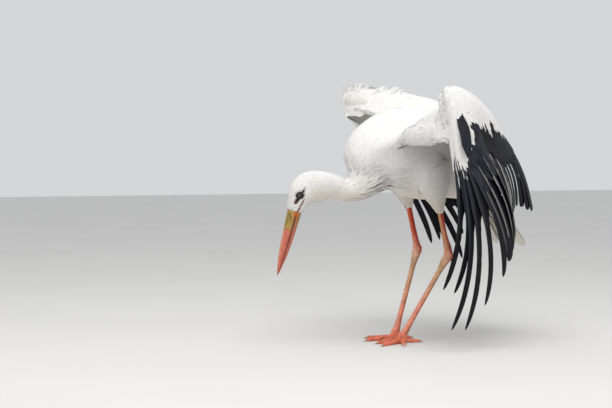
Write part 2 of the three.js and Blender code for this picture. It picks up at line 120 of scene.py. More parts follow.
def dot(a, b):
    """Sum of the products of the coordinates, kept as an axis of one."""
    return (a * b).sum(-1, keepdims=True)


def grid(a, b):
    """Two arrays that hold every pair of the values of a (down) and b (across)."""
    return np.meshgrid(a, b, indexing="ij")


def flat32(values):
    """One row of single floats, which is what foreach_set takes."""
    return np.asarray(values).astype(np.float32).ravel()


def smooth(a, b, x):
    """0 below a, 1 above b, and 3t^2 - 2t^3 between."""
    t = np.clip((np.asarray(x, float) - a) / (b - a), 0, 1)
    return t * t * (3 - 2 * t)


def spline(knots, share):
    """Centripetal Catmull-Rom curve: between two knots a cubic whose end slopes weigh the neighbours
    by the square root of their distance. knots is (k, d), or (k, *share.shape, d) for many curves."""
    knots, share = np.asarray(knots, float), np.asarray(share, float)
    if knots.ndim == 2:
        knots = knots.reshape(len(knots), *[1] * share.ndim, -1)
    full = np.concatenate([2 * knots[:1] - knots[1:2], knots, 2 * knots[-1:] - knots[-2:-1]])
    full = np.broadcast_to(full, (len(full), *share.shape, full.shape[-1]))
    place = np.clip(share, 0, 1) * (len(knots) - 1)
    first = np.minimum(place.astype(int), len(knots) - 2)
    t = (place - first)[..., None]
    a, b, c, d = (np.take_along_axis(full, (first + n)[None, ..., None], 0)[0] for n in range(4))
    before, here, after = (
        np.sqrt(np.linalg.norm(q - p, axis=-1, keepdims=True)) + 1e-9 for p, q in ((a, b), (b, c), (c, d))
    )
    out_slope = ((b - a) / before - (c - a) / (before + here) + (c - b) / here) * here
    in_slope = ((c - b) / here - (d - b) / (here + after) + (d - c) / after) * here
    return (
        (2 * t**3 - 3 * t**2 + 1) * b + (t**3 - 2 * t**2 + t) * out_slope
        + (3 * t**2 - 2 * t**3) * c + (t**3 - t**2) * in_slope
    )


STEP = 1e-3  # of a share, over which slopes are taken
LEAST_HALF = 1.2  # mm, the least half size that an inset leaves


def oval_body(stations, share, turn, inset=0, across=(0, 1, 0)):
    """A body of oval sections: at `share` of the middle line's spline, the point at `turn` of the
    round is the middle + side * cos * half width + above * sin * half depth, above = run x side."""
    stations, across = np.asarray(stations, float), np.asarray(across, float)
    middle, sizes = stations[:, :3], stations[:, 3:]
    run = unit(spline(middle, share + STEP) - spline(middle, share - STEP))
    side = unit(across - run * dot(run, across))
    above = np.cross(run, side)
    up, down, half = np.moveaxis(spline(sizes, share), -1, 0)
    c, s = np.cos(2 * np.pi * turn), np.sin(2 * np.pi * turn)
    deep = np.maximum(np.where(s > 0, up, down) - inset, LEAST_HALF)
    wide = np.maximum(half - inset, LEAST_HALF)
    return spline(middle, share) + side * (c * wide)[..., None] + above * (s * deep)[..., None]


def loft(stations, inset=0, across=(0, 1, 0)):
    """The surface(share, turn) of a body of oval sections, as deep under its skin as the inset."""
    return lambda share, turn: oval_body(stations, share, turn, inset, across)


def between(start, end, table):
    """Stations from start to end, from a table of shares of the way and sizes."""
    start, end = np.array(start, float), np.array(end, float)
    return np.hstack([start + (end - start) * table[:, :1], table[:, 1:]])


def wing_surface(wing, along, chord, lower=False):
    """The covert sheet: four rails run from the saddle (along = -0.2) over the shoulder (0) to the
    fingertip (1), and a spline through their points runs from leading edge (chord 0) to hem (1)."""
    rails = []
    for corner in range(4):
        knots = []
        for number, section in enumerate(WING_SECTIONS):
            i = number - 1
            turn = np.radians(wing["fold"] * smooth(WRIST_AT - 1, WRIST_AT + 2, i))
            inward = unit(ARM_INWARD + (HAND_INWARD - ARM_INWARD) * smooth(WRIST_AT - 1, WRIST_AT + 1, i))
            point, depth = np.array(section[corner], float), section[4]
            brow = section[5] * (1 if i > WRIST_AT else wing["chin"])
            lift = 0 if i > WRIST_AT else wing["ruffle"] * smooth(-1, 0.3, i)
            if corner in (1, 2):
                point[2] += lift * (0.6 if lower and corner == 1 else 1)
            if corner == 0:
                point += np.array(section[6]) * wing["high"]
            if lower:
                point += inward * (brow * 0.2, depth, depth / 2, 2.4)[corner]
                if corner == 0:
                    point += (0, brow, 0) if i > WRIST_AT else (0, 0, -brow)
            x, z = point[0] - WRIST[0], point[2] - WRIST[2]
            point[0] = WRIST[0] + x * np.cos(turn) - z * np.sin(turn)
            point[2] = WRIST[2] + x * np.sin(turn) + z * np.cos(turn)
            knots.append(point)
        rails.append(spline(knots, (5 * along + 1) / 6))
    return spline(np.stack(rails), chord) * (1, -wing["side"], 1)


def in_scene(name, data):
    """A new object of the scene, at the origin."""
    made = bpy.data.objects.new(name, data)
    bpy.context.scene.collection.objects.link(made)
    return made


def new_mesh(name, points, faces, rim=None):
    """A mesh object at the origin from an array of points in millimetres and one of triangles or quads.
    Edges between two points of the rim are sharp."""
    mesh = bpy.data.meshes.new(name)
    points, faces = put(points).reshape(-1, 3), np.asarray(faces).reshape(len(faces), -1)
    mesh.vertices.add(len(points))
    mesh.vertices.foreach_set("co", flat32(points))
    mesh.loops.add(faces.size)
    mesh.loops.foreach_set("vertex_index", faces.astype(np.int32).ravel())
    mesh.polygons.add(len(faces))
    mesh.polygons.foreach_set("loop_start", np.arange(0, faces.size, faces.shape[1], dtype=np.int32))
    mesh.polygons.foreach_set("use_smooth", np.full(len(faces), True))
    mesh.update(calc_edges=True)
    if rim is not None:
        ends = np.empty(2 * len(mesh.edges), np.int32)
        mesh.edges.foreach_get("vertices", ends)
        sharp = rim[ends[0::2]] & rim[ends[1::2]]
        mesh.attributes.new("sharp_edge", "BOOLEAN", "EDGE").data.foreach_set("value", sharp)
    mesh.validate()
    return in_scene(name, mesh)


def round_faces(rings, around):
    """Triangles of a skin over rings of points, with a point before the first and after the last."""
    j, i = grid(np.arange(rings - 1), np.arange(around))
    n = (i + 1) % around
    a, b, c, d = (1 + r * around + k for r, k in ((j, i), (j, n), (j + 1, n), (j + 1, i)))
    walls = np.concatenate([np.stack(corners, -1).reshape(-1, 3) for corners in ((a, b, c), (a, c, d))])
    k = np.arange(around)
    last = 1 + rings * around
    root = np.stack([np.full(around, 0), 1 + (k + 1) % around, 1 + k], -1)
    tip = np.stack([np.full(around, last), last - around + k, last - around + (k + 1) % around], -1)
    return np.concatenate([walls, root, tip])


def capped(rings):
    """Points of a skin over rings, with the middle of the first one before them and of the last after."""
    return np.concatenate([rings[:1].mean(1), rings.reshape(-1, 3), rings[-1:].mean(1)])


def closed_body(surface, along, around):
    """Points and faces of surface(share, turn), shut at both ends by a fan to the ring's middle."""
    rings = surface(*grid(np.linspace(0, 1, along), np.arange(around) / around))
    return capped(rings), round_faces(along, around)


def closed_sheet(upper, lower, flip=False):
    """Points and faces of a slab between two grids of points, joined by a rim all the way round. A
    mirrored sheet is flipped, so that it still faces outwards."""
    if flip:
        upper, lower = upper[:, ::-1], lower[:, ::-1]
    rows, columns = upper.shape[:2]
    at = np.arange(rows * columns).reshape(rows, columns)
    a, b, c, d = at[:-1, :-1], at[:-1, 1:], at[1:, 1:], at[1:, :-1]
    top = np.stack([a, b, c, d], -1).reshape(-1, 4)
    rim = np.concatenate([at[0, :-1], at[:-1, -1], at[-1, :0:-1], at[:0:-1, 0]])
    after = np.roll(rim, -1)
    n = at.size
    wall = np.stack([rim, rim + n, after + n, after], -1)
    points = np.concatenate([upper.reshape(-1, 3), lower.reshape(-1, 3)])
    return points, np.concatenate([top, top[:, ::-1] + n, wall])


def triangles(faces):
    """Each square face as two triangles."""
    return faces if faces.shape[1] == 3 else np.concatenate([faces[:, [0, 1, 2]], faces[:, [0, 2, 3]]])


def gather(parts):
    """Several (points, faces) as one."""
    shift = np.cumsum([0] + [len(p) for p, _ in parts])
    faces = [triangles(f) + s for (_, f), s in zip(parts, shift)]
    return np.concatenate([p for p, _ in parts]), np.concatenate(faces)


def remeshed(name, parts, voxel, rounds):
    """The parts melted into one closed mesh of even faces, then relaxed."""
    piece = new_mesh(name, *gather(parts))
    melt = piece.modifiers.new("melt", "REMESH")
    melt.mode, melt.voxel_size, melt.use_smooth_shade = "VOXEL", voxel / 1000, True
    relax = piece.modifiers.new("relax", "SMOOTH")
    relax.factor, relax.iterations = 0.5, rounds
    bpy.context.view_layer.update()
    done = bpy.data.meshes.new_from_object(piece.evaluated_get(bpy.context.evaluated_depsgraph_get()))
    piece.modifiers.clear()
    old = piece.data
    piece.data = done
    done.name = name
    bpy.data.meshes.remove(old)
    return piece


def read_points(piece):
    """A piece's points in the bird's frame, and their normals."""
    co = np.empty(len(piece.data.vertices) * 3, np.float32)
    no = np.empty_like(co)
    piece.data.vertices.foreach_get("co", co)
    piece.data.vertices.foreach_get("normal", no)
    return co.reshape(-1, 3) * 1000.0 - ORIGIN, no.reshape(-1, 3).astype(float)


def move_points(piece, points):
    """Puts a piece's points at these places of the bird's frame."""
    piece.data.vertices.foreach_set("co", flat32(put(points)))
    piece.data.update()


LEAST_WING_HALF = 2.4


def wing_flesh(wing):
    """The covert sheet thinned by the coat on both sides, and no thinner than the remesh can hold."""
    along, chord = grid(np.linspace(-0.2, 0.97, 48), np.linspace(0, 1, 28))
    edge = 0.09 - 0.05 * smooth(0.5, 0.8, along)
    chord = edge + (0.9 - edge) * chord
    top, bottom = wing_surface(wing, along, chord), wing_surface(wing, along, chord, lower=True)
    middle, half = (top + bottom) / 2, (top - bottom) / 2
    size = np.linalg.norm(half, axis=-1, keepdims=True)
    half = half / size * np.maximum(size - WING_COAT, LEAST_WING_HALF)
    return closed_sheet(middle + half, middle - half, flip=wing["side"] > 0)


def head_neck_surface(share, turn):
    """The head and neck, as deep under the solids as the coat, which thins towards the bill."""
    coat = HEAD_COAT + (NECK_COAT - HEAD_COAT) * smooth(0.3, 0.6, share)
    return oval_body(HEAD_NECK, share, turn, coat)


def thigh_surface(leg):
    """One thigh's surface(share, turn), from over the knee down to the shank."""
    return loft(between(leg["knee"], leg["hock"], THIGH), THIGH_COAT)


def arm_roll(wing):
    """Stations of the rounded front of the arm, from inside the breast out to near the wrist: where the
    leading edge is thin, the roll is slimmer, and slimmer still inside the breast."""
    along = np.array([0.03, 0.14, 0.27, 0.4, 0.5])
    top, low = wing_surface(wing, along, 0 * along), wing_surface(wing, along, 0 * along, lower=True)
    half = np.linalg.norm(top - low, axis=-1, keepdims=True) / 2
    arm = np.hstack([(top + low) / 2 + (6, 0, 0), 1.35 * half + 2, 1.35 * half + 3, 8 + 0.75 * half])
    arm[-1, 3:] *= 0.6
    big = 0.4 + 0.6 * wing["chin"]
    arm[:, 3:] *= 0.75 + 0.25 * wing["chin"]
    breast = np.array([(-108, -34, 446, 9, 9, 9), (-92, -47, 459, 17, 21, 15), (-68, -64, 474, 22, 26, 17)])
    breast = breast * (1, -wing["side"], 1, big, big, big)
    return np.vstack([breast, arm])


def arm_surface(wing):
    """One arm's rounded front as a surface(share, turn)."""
    return loft(arm_roll(wing), WING_COAT, across=(1, 0, 0))


def eased(piece, centre, reach, times):
    """The points near `centre` move 0.8 of the way to the mean of their neighbours, `times` over: in full
    within half of `reach`, and fading out to it, which fills the crease between two forms of flesh."""
    points, _ = read_points(piece)
    edges = np.empty(len(piece.data.edges) * 2, np.int32)
    piece.data.edges.foreach_get("vertices", edges)
    edges = edges.reshape(-1, 2)
    share = smooth(reach, reach / 2, np.linalg.norm(points - centre, axis=1))
    edges = edges[share[edges].max(1) > 0]
    ends, others = edges.ravel(), edges[:, ::-1].ravel()
    count = np.maximum(np.bincount(ends, minlength=len(points)), 1)[:, None]
    for _ in range(times):
        mean = np.stack([np.bincount(ends, points[others, k], len(points)) for k in range(3)], -1) / count
        points = points + (mean - points) * share[:, None] * 0.8
    move_points(piece, points)


trunk_surface = loft(TRUNK, TRUNK_COAT)
flesh = [
    closed_body(trunk_surface, 40, 36),
    closed_body(head_neck_surface, 60, 28),
    *[closed_body(thigh_surface(leg), 20, 20) for leg in LEGS.values()],
    *[wing_flesh(wing) for wing in WINGS.values()],
    *[closed_body(arm_surface(wing), 40, 24) for wing in WINGS.values()],
]
skin = remeshed("skin", flesh, 3.4, 6)
for wing in WINGS.values():
    eased(skin, centre=(-52, 70 * wing["side"], 474), reach=62, times=60)

# ================================================================ coat
# Contour feathers: every one is a thin closed blade that starts in the skin and lies along the body
# over the next ones' roots. They are small and dense on the face, long and narrow on the lower neck.

RING_SHARES = np.array([0.1, 0.35, 0.65, 0.87])  # of a blade's length
BROAD = np.array([0.55, 0.95, 0.95, 0.6])  # shares of the half width there
NARROW = np.array([0.6, 0.9, 0.65, 0.32])
BLADE_FACES = round_faces(len(RING_SHARES), 4)
BLADE_THICK = 0.4  # mm
WHITE = np.array((0.83, 0.82, 0.805))
rng = np.random.default_rng(7)


def nearest(points, cloud):
    """For each point, the index of the nearest one of the cloud, from |a-b|^2 = a^2 - 2ab + b^2."""
    cloud = np.asarray(cloud, np.float32)
    size = (cloud**2).sum(1)
    parts = np.array_split(np.asarray(points, np.float32), len(points) // 1500 + 1)
    return np.concatenate([np.argmin(size - 2 * part @ cloud.T, 1) for part in parts])


def thinned(points, cell):
    """The index of one point from each cube of the given size."""
    keys = np.floor(points / cell).astype(np.int64)
    return np.unique(keys @ np.array([1, 4096, 4096**2]), return_index=True)[1]


class Bed:
    """What feathers lie on: points with their outward normals."""

    def __init__(self, points, normals):
        self.points, self.normals = points.reshape(-1, 3), unit(normals.reshape(-1, 3))

    def snap(self, points, height):
        """The points moved along the nearest normal to the given height over the bed, and that normal."""
        i = nearest(points, self.points)
        n = self.normals[i]
        return points - n * (dot(points - self.points[i], n) - height[:, None]), n


def slopes_cross(surface, a, b, step=STEP):
    """The cross product of a surface's slopes along its two shares."""
    return np.cross(surface(a + step, b) - surface(a - step, b), surface(a, b + step) - surface(a, b - step))


def surface_bed(surface, a, b):
    """A bed from surface(a, b), its normals from the slopes along both of its shares."""
    a, b = grid(a, b)
    return Bed(surface(a, b), slopes_cross(surface, a, b))


def feathers(bed, roots, lie, length, width, depth, outline=BROAD, stand=0.0, camber=0.15, mid=0.7, base=0.0):
    """The points (n, points of a blade, 3) of n blades. A midline bends over the bed through three
    points, rising from `base` to `depth`, with `mid` of that half-way and `stand` more at the tip. Round it
    stand rings of left edge, raised middle, right edge and underside."""
    n = len(roots)
    given = (length, width, depth, stand)
    length, width, depth, stand = (np.broadcast_to(np.asarray(x, float), n) for x in given)
    first, n0 = bed.snap(roots, base + 0 * depth)
    lie = unit(lie - n0 * dot(lie, n0))
    second, n1 = bed.snap(first + lie * length[:, None] / 2, base + mid * (depth - base) + 0.3 * stand)
    way = unit(second - first)
    third, n2 = bed.snap(second + way * length[:, None] / 2, depth)
    third = third + n2 * stand[:, None]
    t = np.concatenate([[0], RING_SHARES, [1]])[None, :, None]
    blend = (2 * t * t - 3 * t + 1, 4 * t - 4 * t * t, 2 * t * t - t)
    middle = sum(w * p[:, None] for w, p in zip(blend, (first, second, third)))
    out = unit(sum(w * p[:, None] for w, p in zip(blend, (n0, n1, n2))))
    run = unit(np.gradient(middle, axis=1))
    side = unit(np.cross(run, out))
    out = np.cross(side, run)
    half = (width[:, None] * outline)[..., None]
    ring, s, o = middle[:, 1:-1], side[:, 1:-1], out[:, 1:-1]
    top = ring + o * (half * camber + BLADE_THICK / 2)
    under = ring - o * (BLADE_THICK / 2 - half * camber * 0.6)
    rings = np.stack([ring - s * half, top, ring + s * half, under], 2)
    return np.concatenate([middle[:, :1], rings.reshape(n, -1, 3), middle[:, -1:]], 1)


def tinted(piece, colours):
    """Gives every point of a piece its colour as the attribute `tint`."""
    tint = piece.data.attributes.new("tint", "FLOAT_COLOR", "POINT")
    tint.data.foreach_set("color", flat32(np.hstack([colours, np.ones((len(colours), 1))])))


def mapped(piece, name, places):
    """Gives a piece the UV map `name`, from one place per point."""
    corner = np.empty(len(piece.data.loops), np.int32)
    piece.data.loops.foreach_get("vertex_index", corner)
    piece.data.uv_layers.new(name=name).data.foreach_set("uv", flat32(places.reshape(-1, 2)[corner]))


def dressed(piece, look):
    """Gives a piece its material, and lets it ride on the one body of the model."""
    piece.data.materials.clear()
    piece.data.materials.append(look)
    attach(piece, "root")
    return piece


def many_piece(name, points, faces, rim, tints, vane, places, material):
    """One mesh of n like feathers from the points (n, k, 3) of each, with a colour for each point
    (tint), a map of length and width on the vane (Vane) and the places on the OFBake square."""
    n, k = points.shape[:2]
    all_faces = (faces[None] + (np.arange(n) * k)[:, None, None]).reshape(-1, 3)
    piece = new_mesh(name, points.reshape(-1, 3), all_faces, np.tile(rim, n))
    tinted(piece, tints.reshape(-1, 3))
    mapped(piece, "Vane", vane)
    mapped(piece, "OFBake", places)
    return dressed(piece, material)


def coat_piece(name, blades, tints, places, material):
    """One mesh of many blades with a colour each. Each has a small patch of the OFBake square, at its
    root's place on the skin."""
    n, k = blades.shape[:2]
    t = np.concatenate([[0], np.repeat(RING_SHARES, 4), [1]])
    across = np.concatenate([[0], np.tile([-1, 0, 1, 0], len(RING_SHARES)), [0]])
    along = np.linalg.norm(blades[:, -1] - blades[:, 0], axis=-1)
    lengthwise = t[None] * along[:, None] / 10 + rng.uniform(0, 50, n)[:, None]
    return many_piece(
        name, blades, BLADE_FACES, (across != 0) | (t == 0) | (t == 1), np.repeat(np.clip(tints, 0, 1), k, 0),
        np.stack([lengthwise, np.broadcast_to(across, (n, k))], -1),
        places[:, None] + np.stack([t - 0.5, across / 2], -1)[None] * 0.003, material,
    )


def run_of(line):
    """How far along a line each of its points lies."""
    return np.concatenate([[0], np.cumsum(np.linalg.norm(np.diff(line, axis=0), axis=1))])


def rows(surface, first, last, step, gap, turns=(0, 1), closed=True):
    """Roots in staggered rows over surface(share, turn): rows stand `step` apart along the share, and
    `gap` apart round each row. Returns points, the direction of rising share, the share and the turn."""
    s, t = np.linspace(first, last, 60), np.linspace(*turns, 121)
    run = run_of(surface(s, np.full(60, 0.13 if closed else np.mean(turns))))
    found_s, found_t = [], []
    place = 0.0
    row = 0
    while place < run[-1]:
        share = np.interp(place, run, s)
        round_run = run_of(surface(np.full(121, share), t))
        here_gap, here_step = (float(x(share)) if callable(x) else x for x in (gap, step))
        count = max(int(round_run[-1] / here_gap), 3)
        at = (np.arange(count) + 0.5 * (row % 2) + rng.uniform(-0.22, 0.22, count)) / count * round_run[-1]
        found_t.append(np.interp(at % round_run[-1], round_run, t))
        found_s.append(share + rng.uniform(-0.25, 0.25, count) * here_step / run[-1] * (last - first))
        place += here_step
        row += 1
    s, t = np.concatenate(found_s), np.concatenate(found_t)
    return surface(s, t), unit(surface(s + STEP, t) - surface(s - STEP, t)), s, t


skin_points, skin_normals = read_points(skin)
kept = thinned(skin_points, 5.0)
hide = Bed(skin_points[kept], skin_normals[kept])
LEAST_HEIGHT, REACH = -2.5, 18  # mm over the hide, and from its nearest point


def on_hide(points, *values):
    """Those roots that lie over the open skin, not inside the parts that melted into it."""
    i = nearest(points, hide.points)
    height = dot(points - hide.points[i], hide.normals[i])[:, 0]
    reach = np.linalg.norm(points - hide.points[i], axis=1)
    over = (height > LEAST_HEIGHT) & (reach < REACH)
    return [x[over] for x in (points, *values)]


def feed(node, sockets):
    """Gives each named or numbered input a value, or links it to another node's output."""
    for socket, value in sockets.items():
        if isinstance(value, bpy.types.NodeSocket):
            node.id_data.links.new(value, node.inputs[socket])
        else:
            node.inputs[socket].default_value = value


def adder(tree):
    """A function that adds one node of the kind to the tree, with its inputs and settings."""

    def add(kind, sockets=None, **settings):
        """The new node: settings first, because some of them choose its inputs."""
        node = tree.nodes.new(f"ShaderNode{kind}")
        for setting, value in settings.items():
            setattr(node, setting, value)
        feed(node, sockets or {})
        return node

    return add


def new_look(name):
    """A new material, the function that adds its nodes, and its Principled shader."""
    material = bpy.data.materials.new(name)
    material.use_nodes = True
    return material, adder(material.node_tree), material.node_tree.nodes["Principled BSDF"]


def shaded_tint(add, texture, share, blend_type="MULTIPLY"):
    """The piece's own tint, with the given share of a texture laid over it."""
    tint = add("Attribute", attribute_name="tint").outputs["Color"]
    sockets = {"Factor": share, "A": tint, "B": texture}
    return add("Mix", sockets, data_type="RGBA", blend_type=blend_type).outputs["Result"]


def barb_group():
    """Barbs of a vane from its Vane map: stripes along length - 0.6 * |width|, and a darker shaft."""
    group = bpy.data.node_groups.new("barbs", "ShaderNodeTree")
    for name, way, kind in (
        ("Colour", "INPUT", "Color"), ("Spacing", "INPUT", "Float"), ("Contrast", "INPUT", "Float"),
        ("Colour", "OUTPUT", "Color"), ("Height", "OUTPUT", "Float"),
    ):
        group.interface.new_socket(name, in_out=way, socket_type=f"NodeSocket{kind}")
    given, made = group.nodes.new("NodeGroupInput"), group.nodes.new("NodeGroupOutput")
    add = adder(group)

    def maths(operation, *values):
        """The result of a Math node on these values or outputs."""
        return add("Math", dict(enumerate(values)), operation=operation).outputs[0]

    place = add("SeparateXYZ", {0: add("UVMap", uv_map="Vane").outputs["UV"]})
    width = maths("ABSOLUTE", place.outputs["Y"])
    slanted = maths("SUBTRACT", place.outputs["X"], maths("MULTIPLY", width, 0.6))
    wave = maths("MULTIPLY", slanted, given.outputs["Spacing"])
    clump = add("TexNoise", {"Scale": 1.0, "Detail": 3.0, "W": wave}, noise_dimensions="1D").outputs["Fac"]
    shaft = maths("LESS_THAN", width, 0.07)
    dark = maths("MULTIPLY", maths("SUBTRACT", clump, 0.5), given.outputs["Contrast"])
    shade = maths("ADD", 1.0, maths("SUBTRACT", dark, maths("MULTIPLY", shaft, 0.06)))
    shaded = add("VectorMath", {0: given.outputs["Colour"], "Scale": shade}, operation="SCALE")
    feed(made, {"Colour": shaded.outputs[0], "Height": maths("ADD", clump, shaft)})
    return group


def vane_look(name, roughness, sheen, barb, contrast, gloss):
    """Feather: the blade's own tint, fine barbs slanting off the shaft as bump and slight shading."""
    material, add, surface = new_look(name)
    tint = add("Attribute", attribute_name="tint").outputs["Color"]
    vane = add("Group", {"Colour": tint, "Spacing": barb, "Contrast": contrast}, node_tree=barbs).outputs
    bump = add("Bump", {"Strength": 0.35, "Distance": 0.0004, "Height": vane["Height"]})
    feed(surface, {"Base Color": vane["Colour"], "Normal": bump.outputs["Normal"], "Roughness": roughness,
                   "Sheen Weight": sheen, "Sheen Roughness": 0.5, "Specular IOR Level": gloss})
    return material


barbs = barb_group()
white_feather = vane_look("white_feather", roughness=0.8, sheen=0.12, barb=6.0, contrast=0.12, gloss=0.25)


def jittered(n, spread=0.12):
    """n factors that scatter evenly about 1."""
    return 1 + rng.uniform(-spread, spread, n)


FACE = EYE - (6, 0, 4)
MOUTH_LINE = np.array([(-286, 298), (-274, 315), (-268.5, 327.5), (-263.5, 340)])  # x and z
PATCH = unit(np.array((-0.5, -0.87)))  # long axis of the bare skin round the eye, x and z
SMOKE = np.array((0.014, 0.010, 0.011))
RUST = np.array((0.10, 0.028, 0.018))
GAPE_RED = np.array((0.26, 0.035, 0.022))


def to_line(x, z, line):
    """Distance in the head's side plane to a line of straight stretches."""
    p = np.stack([x, z], -1)
    best = np.full(len(p), 1e9)
    for a, b in zip(line[:-1], line[1:]):
        t = np.clip(((p - a) @ (b - a)) / ((b - a) @ (b - a)), 0, 1)
        best = np.minimum(best, np.linalg.norm(p - a - t[:, None] * (b - a), axis=1))
    return best


def bare_face(points):
    """Where hide shows on the sides of the face: an oval of black skin along PATCH round the eye with
    a streak behind it, a rust lore below, and the red line of the mouth's corner. Each 0 to 1."""
    p = np.asarray(points, float)
    x, z = p[:, 0] - FACE[0], p[:, 2] - FACE[2]
    on_side = smooth(6, 11, np.abs(p[:, 1]))
    far, wide = x * PATCH[0] + z * PATCH[1], -x * PATCH[1] + z * PATCH[0]
    oval = smooth(1.12, 0.95, np.hypot((far - 0.5) / 11.0, wide / 9.0))
    streak = smooth(1.15, 0.8, np.hypot((far + 12.5) / 8.5, (wide - 0.5) / 3.4))
    lore = smooth(1.15, 0.85, np.hypot((far - 15.5) / 9.0, (wide - 0.8) / 4.6))
    gape = smooth(3.0, 1.6, to_line(p[:, 0], p[:, 2], MOUTH_LINE))
    return np.maximum(oval, streak) * on_side, lore * on_side, gape * smooth(4, 9, np.abs(p[:, 1]))


def mixed(colour, other, share):
    """A colour moved towards another by the share."""
    return colour + (other - colour) * share[..., None]


def markings(points):
    """Colour of hide and coat: white, greyer and warmer towards the belly and thighs and creamy on the lower
    neck, both as painted shade of the underside, and bare black, rust and red skin in the face."""
    p = np.asarray(points, float)
    # painted shade: the belly and thighs turn greyer and warmer, and the underside of the neck creamy
    under_shade = smooth(430, 310, p[:, 2]) * smooth(-90, -20, p[:, 0])
    neck_under_shade = smooth(395, 350, p[:, 2]) * smooth(-90, -140, p[:, 0]) * smooth(-262, -240, p[:, 0])
    colour = WHITE * (1 - 0.22 * under_shade[:, None] * np.array((0.7, 0.95, 1.35)))
    colour = colour * (1 - 0.10 * neck_under_shade[:, None] * np.array((0.6, 0.9, 1.5)))
    black, rust, red = bare_face(p)
    return mixed(mixed(mixed(colour, RUST, rust), SMOKE, black), GAPE_RED, red)


# Hide: its colour from the markings, goose-flesh as round bumps, and fine wrinkles over them.
hide_look, add, surface = new_look("hide")
place = add("TexCoord").outputs["Object"]
goose = add("TexVoronoi", {"Scale": 700, "Vector": place}).outputs["Distance"]
wrinkles = add("TexNoise", {"Scale": 260, "Detail": 6, "Vector": place}).outputs["Fac"]
height = add("Math", {0: wrinkles, 1: goose}, operation="SUBTRACT").outputs[0]
bump = add("Bump", {"Strength": 0.5, "Distance": 0.0006, "Height": height})
feed(surface, {"Base Color": shaded_tint(add, wrinkles, 0.5), "Normal": bump.outputs["Normal"],
               "Roughness": 0.6})
tinted(skin, markings(skin_points))
dressed(skin, hide_look)


def by_share(shares, values):
    """A size that follows the share along the loft."""
    return lambda s: np.interp(s, shares, values)


# Each track of contour feathers: its loft, the shares that it covers, the step between rows and the
# gap in a row, the coat's depth over the hide, each feather's length and half width, and its corner
# of the OFBake square.
TRACKS = {
    "head": (head_neck_surface, (0.012, 0.34), by_share((0, 0.1, 0.34), (1.5, 2.1, 3.0)),
             by_share((0, 0.1, 0.34), (1.5, 2.0, 2.7)), by_share((0, 0.34), (1.6, 3.0)),
             by_share((0, 0.1, 0.34), (4.0, 6.5, 10)), by_share((0, 0.1, 0.34), (1.05, 1.4, 2.1)), (0, 0)),
    "neck": (head_neck_surface, (0.34, 0.97), by_share((0.34, 0.6, 1), (3.1, 4.6, 6.5)),
             by_share((0.34, 0.6, 1), (2.8, 3.8, 4.6)), by_share((0.34, 0.6, 1), (2.6, 4.2, 5.5)),
             by_share((0.34, 0.5, 0.7, 1), (11, 17, 34, 50)), by_share((0.34, 0.6, 1), (2.1, 2.9, 3.4)),
             (0, 0.34)),
    "trunk": (trunk_surface, (0.03, 0.985), by_share((0, 1), (5.2, 6.3)), by_share((0, 1), (4.7, 5.5)),
              by_share((0, 0.1, 1), (4, 5, 5.5)), by_share((0, 0.2, 0.7, 1), (34, 34, 36, 46)),
              by_share((0, 0.14, 0.3, 1), (4.6, 4.8, 5.4, 6.0)), (0.34, 0)),
}
for name, corner in (("left", (0.34, 0.67)), ("right", (0.67, 0.67))):
    TRACKS[f"thigh_{name}"] = (
        thigh_surface(LEGS[name]), (0.12, 0.97), 5.0, 4.4, by_share((0, 0.6, 1), (5, 4.6, 3)),
        by_share((0, 0.6, 1), (28, 26, 18)), by_share((0, 0.6, 1), (4.4, 4.0, 2.4)), corner,
    )
for name, corner in (("left", (0, 0.67)), ("right", (0.67, 0.34))):
    TRACKS[f"arm_{name}"] = (
        arm_surface(WINGS[name]), (0.06, 0.98), 4.4, 4.4, by_share((0, 1), (4.6, 4.2)),
        by_share((0, 1), (32, 22)), by_share((0, 1), (5.0, 4.2)), corner,
    )
found = {}
for track, (surface, shares, step, gap, *_) in TRACKS.items():
    found[track] = on_hide(*rows(surface, *shares, step, gap))

